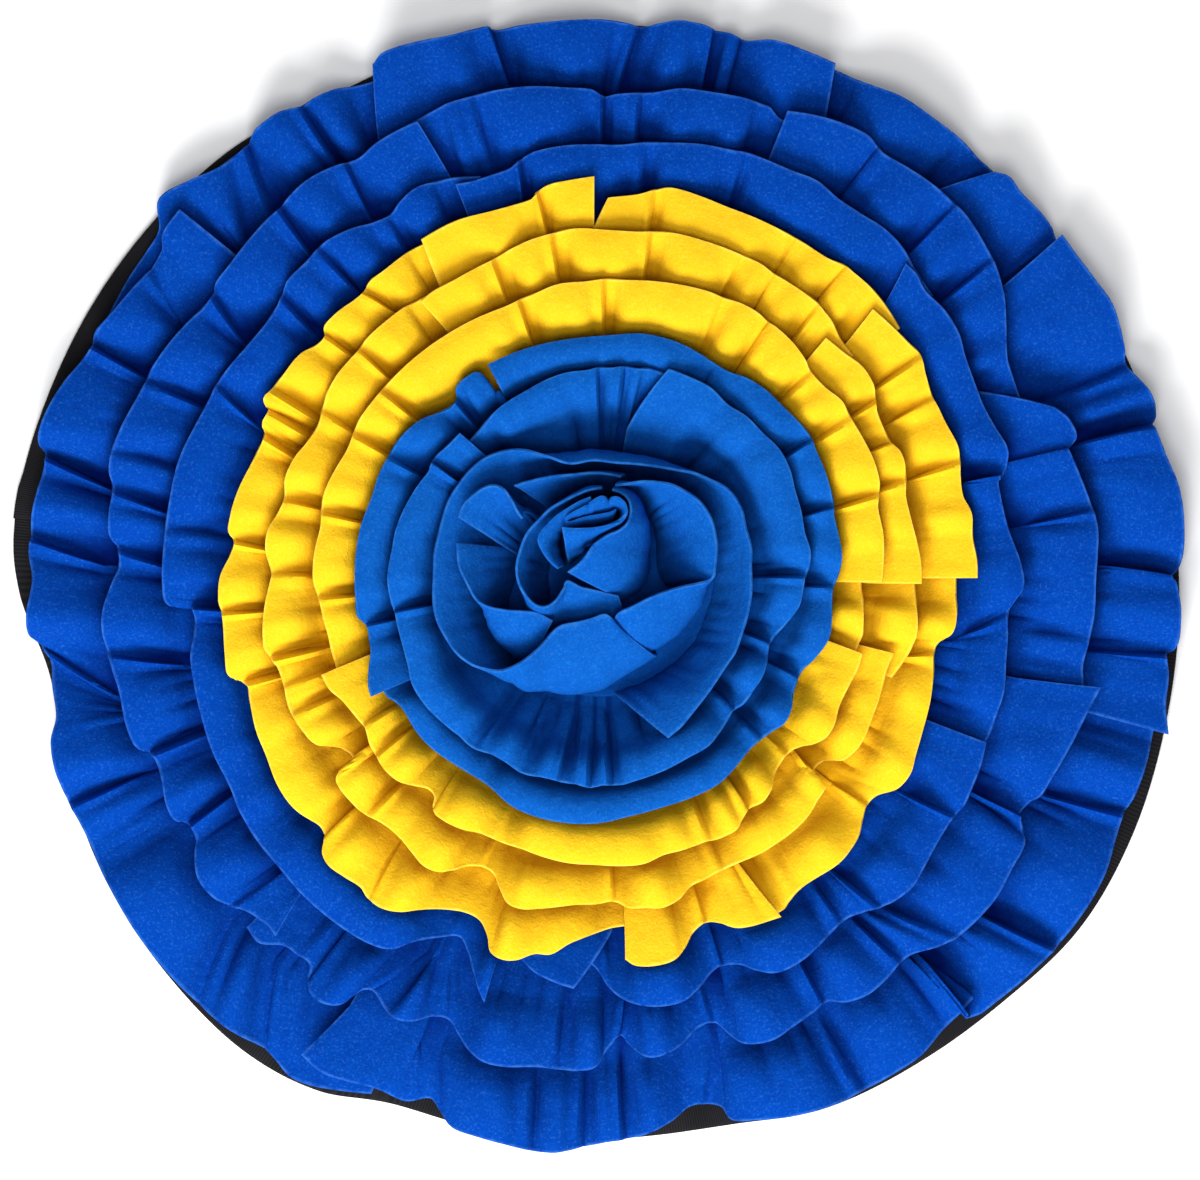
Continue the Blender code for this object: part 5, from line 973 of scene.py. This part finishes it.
# Inner blue rings.
# Two rings of a slightly greener blue fleece that stand up round the rosette.
INNER_BLUE = (0.004, 0.098, 0.42, 1)
INNER_DEEP = (0.001, 0.050, 0.29, 1)
# paler colour along a cut, partly a painted highlight, and the painted highlight on the curl
# tips
INNER_CUT_AND_HIGHLIGHT = (0.028, 0.16, 0.48, 1)
# colour of the shade painted into the folds
INNER_PAINTED_SHADE = (0.0006, 0.022, 0.15, 1)
INNER_NAP = 1.2
RING_7 = {
    "strip_a": (("under", 6), ("free", 0), (
        (202, 103, .15, 0), (208, 104, .20, 0), (210.5, 102, .55, 0), (214, 101, .80, 0),
        (220, 102, .85, 0), (225, 102, .80, 0), (230, 101, .75, 0), (236, 100, .65, 0),
        (241, 100, .65, 0), (245, 102, .80, 0), (249, 104, .85, 0), (255, 105, .85, 0),
        (262, 105, .85, 0), (270, 104, .85, 0), (277, 102, .80, 0), (285, 101, .80, 0),
        (292, 101, .85, 0), (300, 101, .85, 0), (306, 99, .80, 0), (311, 97, .65, 0),
        (315, 97, .50, 0), (318.5, 98, .60, 0), (322, 100, .85, 0), (326, 99, .80, 0),
        (329.5, 96, .60, 0), (332.7, 95, .35, 0), (336, 95, .40, 0), (340, 98, .80, 0),
        (345, 101, .85, 0), (349, 101, .85, 0), (354, 100, .70, 0), (358, 100, .45, 0),
        (361, 102, .60, 0), (365, 104, .85, 0), (370, 104, .85, 0), (375, 104, .70, 0),
        (377.3, 105, .40, 0), (380.5, 106, .80, 0), (386, 107, .85, 0), (391, 108, .75, 0),
        (393.5, 109, .45, 0), (397, 109, .85, 0), (403, 108, .85, 0), (409, 108, .85, 0),
        (414, 107, .75, 0), (418, 105, .70, 0), (422, 105, .55, 0), (426.5, 106, .75, 0),
        (432, 107, .85, 0), (440, 107, .85, 0), (447, 105, .85, 0), (455, 104, .85, 0),
        (465, 104, .85, 0), (472, 104, .85, 0), (477.5, 104, .90, 0))),
    "strip_b": (("free", 0), ("over", 6), (
        (117.5, 92, .05, 0), (119, 93, .15, 0), (120.3, 103, .60, 0), (124, 104, .85, 0),
        (126.7, 103, .60, 0), (128.6, 99, .25, 0), (131, 98, .35, 0), (134.5, 100, .70, 0),
        (138.5, 103, .85, 0), (144, 105, .80, 0), (149.5, 105, .45, 0), (154, 105, .80, 0),
        (160, 104, .85, 0), (168, 105, .85, 0), (176, 105, .85, 0), (183, 105, .85, 0),
        (188.5, 105, .75, 0), (190.9, 102, .35, 0), (194, 102, .60, 0), (197.5, 103, .80, 0),
        (201, 106, .85, 0), (204.5, 109, .90, 0), (207, 110, .90, 1))),
}
RING_8 = {
    "strip_a": (("over", 6), ("over", 11), (
        (133.6, 87, .90, -1.5), (138, 87, .85, 0), (142.5, 88, .80, 0), (145, 88, .35, 1),
        (148, 87, .70, 0), (153, 88, .80, 0), (159, 89, .85, 0), (166, 90, .85, 0),
        (172, 90, .85, 0), (180, 91, .85, 0), (186, 90, .80, 0), (188.7, 89, .40, 0),
        (192.5, 89, .75, 0), (198, 89, .85, 0), (204, 90, .85, 0), (209, 92, .85, 0),
        (216, 92, .85, 0), (222, 91, .85, 0), (228, 90, .85, 0), (233, 90, .35, 0),
        (238, 88, .75, 0), (243, 88, .75, 0), (248, 89, .40, 0), (254, 88, .85, 0),
        (258.5, 88, .35, 0), (263, 88, .85, 0), (267, 89, .40, 0), (270, 88, .80, 0),
        (273, 88, .35, 0), (277, 88, .85, 0), (282, 87, .85, 0), (289, 86, .85, 0),
        (296, 85, .85, 0), (303, 85, .80, 0), (308, 83, .70, 0), (312.5, 81, .55, 0),
        (316, 80, .45, 0), (319, 81, .55, 0), (324, 81, .80, 0), (329, 81, .85, 0),
        (333.3, 80, .75, 0), (337, 78, .45, 0), (341, 78, .40, 0), (344.5, 80, .55, 0),
        (348.3, 83, .75, 0), (352.5, 86, .85, 0), (357, 87, .85, 0), (361, 88, .55, 0),
        (364, 90, .80, 0), (368, 91, .85, 0), (373, 90, .85, 0), (379, 91, .85, 0),
        (385, 92, .85, 0), (390, 94, .85, 0), (396, 95, .85, 0), (402, 94, .75, 0),
        (408, 94, .80, 0), (414, 93, .75, 0), (420, 95, .85, 1), (426, 95, .85, 3),
        (432, 95, .90, 7))),
    "strip_b": (("under", 14), ("under", 7), (
        (64, 91, .15, 4), (70, 92, .20, 4), (76, 93, .50, 3), (80, 92, .80, 1),
        (83.5, 92, .50, 0), (87, 91, .80, 0), (90.5, 91, .55, 0), (94, 90, .80, 0),
        (99, 90, .80, 0), (104, 89, .85, 0), (111, 87, .85, 0), (117, 86, .85, 0),
        (122, 85, .80, 0), (127, 83, .50, 0), (131, 82, .25, 0), (137.5, 81, .15, 0))),
}
inner_fleece = fleece(
    "inner_blue_fleece", INNER_BLUE, INNER_DEEP, INNER_CUT_AND_HIGHLIGHT, INNER_PAINTED_SHADE, INNER_NAP)
sew_ring(6, RING_7, inner_fleece)
sew_ring(7, RING_8, inner_fleece)


# Rosette.
# Longer strips of the inner blue fleece, wrapped and folded round the middle like a flower: a
# wrap, four petals, a bud of three and a rolled heart, each sewn down by its lower edge.
# Each row is one column of a petal:
#   east, north, height      where its free edge is, from the mat's centre and from the floor
#   seam_east, seam_north    where it is sewn down
PETAL_SEAT = BASE_THICK + 0.75
ROSETTE = {
    "rose_wrap": (
        (29.5, -68, 35, 5, -48), (36, -61.5, 37, 13.5, -46), (43, -53, 38, 22, -42.5),
        (52, -40, 38, 32, -35.5), (59, -28, 38, 40.5, -26.5), (63, -17, 38, 45.5, -15),
        (65, -4, 38, 48.5, -4), (65, 8, 38, 48, 6), (63.5, 20, 38, 46, 15),
        (60.5, 31, 38, 43.5, 23), (54.5, 39.5, 38, 39.5, 30.5), (46, 43.8, 38, 33.5, 36.5),
        (36, 46.3, 39, 26, 41), (24, 48.3, 39, 18, 44), (10, 49.5, 40, 9, 45.3),
        (-2, 50.8, 39, -1, 46.3), (-13, 50.2, 38, -10, 45.5), (-22, 53, 37, -18, 44),
        (-32, 55.5, 36, -25.5, 41.5), (-41, 55, 36, -31.5, 37.5), (-50, 52, 36, -36, 33),
        (-58, 45, 36, -40, 28), (-66, 32, 36, -43.5, 20.5), (-70, 17, 36.5, -46.5, 11),
        (-71.5, 3, 37, -47.5, 2), (-71.5, -10, 37, -47.5, -7.5), (-69, -20, 37, -46, -17),
        (-63, -29.5, 38, -43, -25), (-55, -35.6, 39, -39.5, -30.5),
        (-47, -38.3, 40, -36, -34.5), (-40, -38.3, 41, -32.5, -38), (-33, -34.7, 42, -28, -40),
        (-27, -29.5, 42, -23.5, -41), (-22, -23.5, 41.5, -19, -42),
        (-17, -19.5, 41, -14, -43.5), (-10, -17.8, 40.5, -8, -43.5),
        (-3, -16.2, 40, 0.5, -41.3), (1, -14.8, 40, 7.5, -36.3), (3.5, -15, 40, 14, -31.3),
        (6, -18.3, 38, 21.3, -26.5)),
    "rose_petal_low": (
        (-62, 16, 37, -33, 13.5), (-61, 9, 38, -34.5, 8), (-59, 2, 39, -36, 2.5),
        (-55.5, -5, 40, -38, -3.5), (-51.5, -9, 41, -39.5, -9), (-46, -11.5, 41, -39.5, -14.5),
        (-40, -12.5, 41, -37.5, -20), (-33, -13, 41, -33.5, -25.5), (-27, -14, 40, -28.5, -29),
        (-20, -17, 36, -23, -31)),
    "rose_petal_high": (
        (-33, 26.5, 42, -23.5, 26.5), (-35.5, 29.5, 43, -25, 25.5), (-38, 34.5, 43, -27, 24),
        (-41, 39, 43, -29, 22), (-46, 40.5, 43, -31, 20), (-52, 38.5, 43, -32.5, 17),
        (-58, 33, 43, -33, 13), (-61, 27, 43, -33, 9)),
    "rose_petal_back": (
        (9, 44, 38, 10.5, 35.8), (2, 45.5, 39, 2.5, 35.5), (-4, 46, 39, -3, 35),
        (-12, 45.2, 39, -8, 34), (-22, 43.5, 39, -12.5, 32.8), (-30, 42, 39, -16.5, 31.3),
        (-37, 40.5, 40, -20, 29.5)),
    "rose_petal_right": (
        (6.5, -16.5, 36, 14, -25.5), (8.5, -14, 41, 20, -23.5), (14, -10.8, 44, 27.5, -19),
        (22, -7.2, 44, 31, -14.5), (30, -4.3, 44, 33.5, -10), (40, -2, 43, 36, -5),
        (47.5, 0.5, 43, 34, -2.5), (49.3, 6, 43, 28, -1), (50, 14, 44, 25, 6),
        (49, 22, 44, 24.5, 13), (46.5, 29, 45, 24, 19), (42, 34.5, 45, 23, 24),
        (36, 38.7, 45, 21, 27.5), (28, 41.3, 45, 18.5, 30), (20, 42.2, 45, 15, 31.5),
        (13, 41.3, 45, 11.5, 32), (6.5, 40.3, 44, 7.5, 33)),
    "rose_bud_outer": (
        (1, 38.8, 45, 1, 30), (-5, 38.3, 46, -4, 29.5), (-11, 36.5, 46, -9, 26.5),
        (-17, 33.2, 46, -14, 22), (-23, 29, 46, -17, 18.5), (-29.5, 22, 46, -19.5, 15),
        (-33.5, 15, 46, -21, 10.5), (-35.5, 7, 46, -22, 5), (-35, 0, 46, -22.5, 0),
        (-31.8, -6.5, 45, -22, -5), (-27.5, -10.5, 44, -21.5, -9), (-22.8, -11, 43, -20, -12),
        (-18, -8, 42, -17, -13.5), (-15, -3, 41, -13, -14.5), (-13.5, 0, 40, -8.5, -14.5),
        (-7, -3, 38, -3, -13.5), (1, -5, 36, 2, -12), (8, -6.5, 34, 5.5, -10.5)),
    "rose_bud_inner": (
        (-4, 35.6, 48, -3, 28.3), (-9, 33.8, 48, -8, 27.2), (-14.5, 30.8, 48, -12.5, 25),
        (-20, 26.8, 48, -16, 21.5), (-24.8, 21.5, 48, -17.5, 18.5),
        (-26.5, 18, 48, -17.5, 15.5), (-25.2, 13.5, 47, -17.3, 12), (-22, 8.5, 46, -16.5, 8.5),
        (-18, 5, 45, -15.5, 6)),
    "rose_bud_right": (
        (-14, 3.3, 46, 10, -6.5), (-9, 7.5, 47, 13.5, -2.5), (-6, 11, 48, 15.5, 2.5),
        (-3, 15.5, 48.5, 16.5, 7), (2, 19, 49, 17, 12), (7, 20.7, 49, 16.5, 16.5),
        (11, 24, 49, 15, 21.5), (13, 28.5, 48, 14, 25), (13, 32, 47, 13.3, 27),
        (11.8, 34.8, 46.5, 12, 28.5), (8.8, 37.1, 46, 9.5, 29.8), (5, 38.2, 45.5, 6, 30.3)),
    "rose_heart": (
        (-16.2, 22.6, 49, -13.5, 6.8), (-10, 22.2, 50, -9.5, 11), (-3, 22.6, 50, -6, 14.5),
        (3.5, 23.6, 50, -1, 18.6), (8.5, 25.6, 50, 5, 22.2), (11, 29, 50, 8.8, 25),
        (10.8, 32.6, 50, 8.6, 28.3), (8, 35.4, 50, 6.4, 29.3), (5.4, 35.4, 49, 4.8, 28.8),
        (3.6, 33.2, 46.5, 3.4, 27.6), (1.5, 35.4, 49.5, 1.5, 27), (-1, 35, 50, -1, 26.3),
        (-4, 33.4, 50, -3.5, 26), (-5, 32.2, 48.5, -4.8, 25.8), (-6, 32.2, 49.5, -6, 25.8),
        (-9, 30.6, 49.5, -8.5, 25.7), (-14, 27.4, 49, -13.5, 24.7),
        (-13.6, 25.2, 47, -12.6, 22.6), (-8, 26.6, 47, -7.5, 22.6), (-2, 28, 47, -2, 23.2),
        (3.5, 29.2, 47, 3.4, 24.6), (6.8, 30.6, 46.5, 5.6, 26.2)),
}
STANDS_UP = ("rose_bud_inner", "rose_heart")    # these rise straight and turn over near the top
PETAL_MIDDLE = 2 / 3    # share of its height where a petal is bowed
PETAL_OUT_BOW = 0.3     # how far along its reach an outward petal has come there
PETAL_IN_BOW = 0.1      # the same for one that leans inwards
PETAL_BULGE = 20        # and how far outwards that one's middle is pushed, in mm
LEAN_SPAN = 10          # change of reach, in mm, that turns a petal from outward to inward
BULGE_SPAN = 24         # the same for its bulge, which starts before it leans in
BULGE_START = 0.85
PUCKER_PITCH = 8.0      # distance between the small tucks at a petal's foot, in mm
PUCKER_DRIFT = 20       # length over which their spacing changes, in mm
PUCKER_DEPTH = 1.1
PUCKER_TOP = 0.9        # share of the height where nothing is left of them
PUCKER_LOSS = 0.8       # share of their depth that a petal loses as it leans in
PETAL_WRINKLE = 0.8
PETAL_WRINKLE_SIZE = 11.0
PETAL_END_PITCH = 1.2
# Rows of mesh down a petal, by their distance from the free edge as a share of its height
PETAL_ROWS = (0, 0.025, 0.055, 0.09, 0.15, 0.22, 0.3, 0.4, 0.5, 0.62, 0.75, 0.88, 1)


def petal_grid(rows, seed, stands_up):
    """Middle surface of a petal: each column bends from its seam up to the free edge."""
    samples = smooth_rows(rows, FOLD_STEPS)
    edge, seam, height = samples[:, 0:2], samples[:, 3:5], samples[:, 2]
    seam_reach = np.linalg.norm(seam, axis=1)
    inwards = (seam_reach - np.linalg.norm(edge, axis=1))[:, None]
    leaning_in = np.clip(inwards / LEAN_SPAN + 0.5, 0, 1)
    bow = PETAL_OUT_BOW + (PETAL_IN_BOW - PETAL_OUT_BOW) * leaning_in
    bulging = np.clip(inwards / BULGE_SPAN + BULGE_START, 0, 1)
    bulge = PETAL_BULGE * bulging * seam / seam_reach[:, None]
    middle = seam + bow * (edge - seam) + bulge
    middle_height = PETAL_SEAT + (height - PETAL_SEAT) * PETAL_MIDDLE
    if stands_up:
        middle, middle_height = seam, height
    grid = []
    for from_edge in PETAL_ROWS[::-1]:
        across = 1 - from_edge
        first, second, third = from_edge ** 2, 2 * across * from_edge, across ** 2
        place = first * seam + second * middle + third * edge
        level = first * PETAL_SEAT + second * middle_height + third * height
        grid.append(np.column_stack([place, level]))
    lost = PUCKER_LOSS * smooth_share(inwards[:, 0] / LEAN_SPAN + 0.8)
    pucker = PUCKER_DEPTH * (1 - lost)
    return soften(np.array(grid), seed, pucker)


def smooth_share(share):
    """A share held between 0 and 1, easing in and out."""
    share = np.clip(share, 0, 1)
    return share * share * (3 - 2 * share)


def soften(grid, seed, pucker):
    """Move a petal's surface in and out a little, except at its seam."""
    along = np.gradient(grid[..., :2], axis=1)
    along /= np.linalg.norm(along, axis=-1, keepdims=True) + 1e-9
    sideways = np.stack([-along[..., 1], along[..., 0]], axis=-1)
    free = np.clip(np.linspace(0, 3, len(PETAL_ROWS)), 0, 1)
    swing = PETAL_WRINKLE * free[:, None] * wrinkles(grid, seed, PETAL_WRINKLE_SIZE)
    steps = np.linalg.norm(np.diff(grid[-1, :, :2], axis=0), axis=1)
    place = np.concatenate([[0], np.cumsum(steps)])
    from_foot = 1 - np.array(PETAL_ROWS[::-1])
    tucked = np.sin(math.pi * np.clip(from_foot / PUCKER_TOP, 0, 1)) * (1 - from_foot)
    drift = np.array([noise.noise(Vector((mm / PUCKER_DRIFT, seed, 0))) for mm in place])
    tuck_wave = np.sin(2 * math.pi * (place / PUCKER_PITCH + drift))
    tuck_wave *= 0.4 + 1.5 * np.abs(drift)
    swing += tucked[:, None] * (pucker * tuck_wave)[None, :]
    grid[..., :2] += sideways * swing[..., None]
    return grid


for seed, (petal, rows) in enumerate(ROSETTE.items()):
    sew_strip(petal, petal_grid(rows, 100 + seed, petal in STANDS_UP), inner_fleece,
              np.array(PETAL_ROWS[::-1]), PETAL_END_PITCH)

# A round patch of the same fleece lies under the petals
PATCH_RADIUS = 50.0
PATCH_LAP = 5.0         # width of its edge, which lies on the last ring's seam, in mm
PATCH_SEAT = BASE_THICK + FLEECE / 2 + 0.1
PATCH_RISE = FLEECE + 0.3
PATCH_WAVE = 1.2        # height of its soft waves, which end this far from the middle:
WAVE_REACH = 40
PATCH_ROWS = (0.5, 6, 12, 18, 24, 30, 36, 42, PATCH_RADIUS - PATCH_LAP, 46, 47, PATCH_RADIUS)
turns = np.radians(np.arange(0, 360, 5))
patch_rows = []
for reach in PATCH_ROWS:
    rise = PATCH_RISE * max(0, 1 - (PATCH_RADIUS - reach) / PATCH_LAP)
    wave = PATCH_WAVE * np.abs(np.sin(3 * turns + reach / 9)) * (1 < reach < WAVE_REACH)
    patch_rows.append(np.stack([
        reach * np.cos(turns), reach * np.sin(turns), PATCH_SEAT + rise + wave], axis=1))
patch_grid = np.array(patch_rows)
patch = cloth_object("rosette_patch", patch_grid, inner_fleece, closed_round=True)
add_attribute(patch, "from_cut", np.full(patch_grid.shape[:2], PATCH_RADIUS))
thin_edges(patch, np.full(patch_grid.shape[:2], PATCH_RADIUS))
fleece_pieces.append(patch)
round_off(patch)
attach(patch, "root")


# Painted shade in the folds.
# Shade is painted into the fleeces' colour where cloth lies between its neighbours. Each point
# of every strip keeps the share of the sky over it that other cloth hides, and the fleeces'
# finishes darken by it. The near side of the sky, towards the near lamp, counts for more.
SKY_RAYS = 24
SKY_REACH = 32.0 * MM
SKY_LEAN = 0.35         # how far each direction is turned to the near side, so the painted shade follows the near lamp
CLEAR_OF_CLOTH = 1.8 * MM
GOLDEN_TURN = math.radians(137.508)

corners, quads = [], []
for piece in fleece_pieces:
    first = len(corners)
    corners.extend(vertex.co[:] for vertex in piece.data.vertices)
    quads.extend([first + number for number in face.vertices] for face in piece.data.polygons)
all_cloth = BVHTree.FromPolygons(corners, quads)
sky = []
for ray in range(SKY_RAYS):
    off_axis = math.asin(math.sqrt((ray + 0.5) / SKY_RAYS))
    sky.append(Vector((math.sin(off_axis) * math.cos(ray * GOLDEN_TURN),
                       math.sin(off_axis) * math.sin(ray * GOLDEN_TURN) - SKY_LEAN,
                       math.cos(off_axis))).normalized())


def hidden_sky(place):
    """Share of the sky over a point that cloth hides."""
    hits = [all_cloth.ray_cast(place + ray * CLEAR_OF_CLOTH, ray, SKY_REACH)[0] for ray in sky]
    return sum(hit is not None for hit in hits) / SKY_RAYS


# painted shade for each point of the cloth, from the share of sky that other cloth hides
for piece in fleece_pieces:
    shares = [hidden_sky(vertex.co) for vertex in piece.data.vertices]
    add_attribute(piece, "hidden_sky", shares)


# Studio.
# A plain pale floor under an even sky, a broad soft light from the near side, one overhead
# and a weak one from the far side, and the camera straight above the mat.
FLOOR_HALF = 3.0
FLOOR_DROP = 0.5 * MM
FLOOR_COLOUR = (0.95, 0.95, 0.95, 1)
FLOOR_ROUGHNESS = 0.6
FLOOR_GRAIN = 30.0
FLOOR_RELIEF = 0.02
SKY_STRENGTH = 0.34
CAMERA_HEIGHT = 4.0
CAMERA_NORTH = -4.3 * MM
CAMERA_CLIP = 20
VIEW_WIDTH = 516 * MM
SENSOR_WIDTH = 36.0
MAT_MID_HEIGHT = 18 * MM

bpy.ops.mesh.primitive_plane_add(size=2 * FLOOR_HALF, location=(0, 0, 0))
floor = bpy.context.object
floor.name = "floor"
floor_finish = Finish("pale_floor")
floor_grain = floor_finish.speckle(FLOOR_GRAIN)
floor.data.materials.append(
    floor_finish.done(FLOOR_COLOUR, FLOOR_ROUGHNESS, floor_grain, FLOOR_RELIEF))
floor.location.z = -FLOOR_DROP
bpy.ops.object.transform_apply(location=True)
floor.select_set(False)

# Each light: place and the size of its panel in metres, and its power in watts
LIGHTS = {
    "far_softbox": ((0.0, 1.5, 2.1), 1.2, 4.0),
    "near_fill": ((-0.25, -1.15, 0.95), 0.9, 35.0),
    "overhead": ((0.0, -0.45, 2.3), 0.8, 21.0),
}
for name, (place, size, power) in LIGHTS.items():
    bpy.ops.object.light_add(type="AREA", location=place)
    light = bpy.context.object
    light.name = name
    light.data.shape = "SQUARE"
    light.data.size = size
    light.data.energy = power
    light.rotation_euler = (-Vector(place)).to_track_quat("-Z", "Y").to_euler()

bpy.context.scene.view_settings.view_transform = "Standard"
world = bpy.data.worlds.new("studio")
bpy.context.scene.world = world
world.use_nodes = True
background = world.node_tree.nodes["Background"]
background.inputs["Color"].default_value = (1, 1, 1, 1)
background.inputs["Strength"].default_value = SKY_STRENGTH

camera_data = bpy.data.cameras.new("camera")
camera = bpy.data.objects.new("camera", camera_data)
bpy.context.scene.collection.objects.link(camera)
camera.location = (0, CAMERA_NORTH, CAMERA_HEIGHT)
camera_data.sensor_width = SENSOR_WIDTH
camera_data.lens = SENSOR_WIDTH * (CAMERA_HEIGHT - MAT_MID_HEIGHT) / VIEW_WIDTH
camera_data.clip_end = CAMERA_CLIP
bpy.context.scene.camera = camera
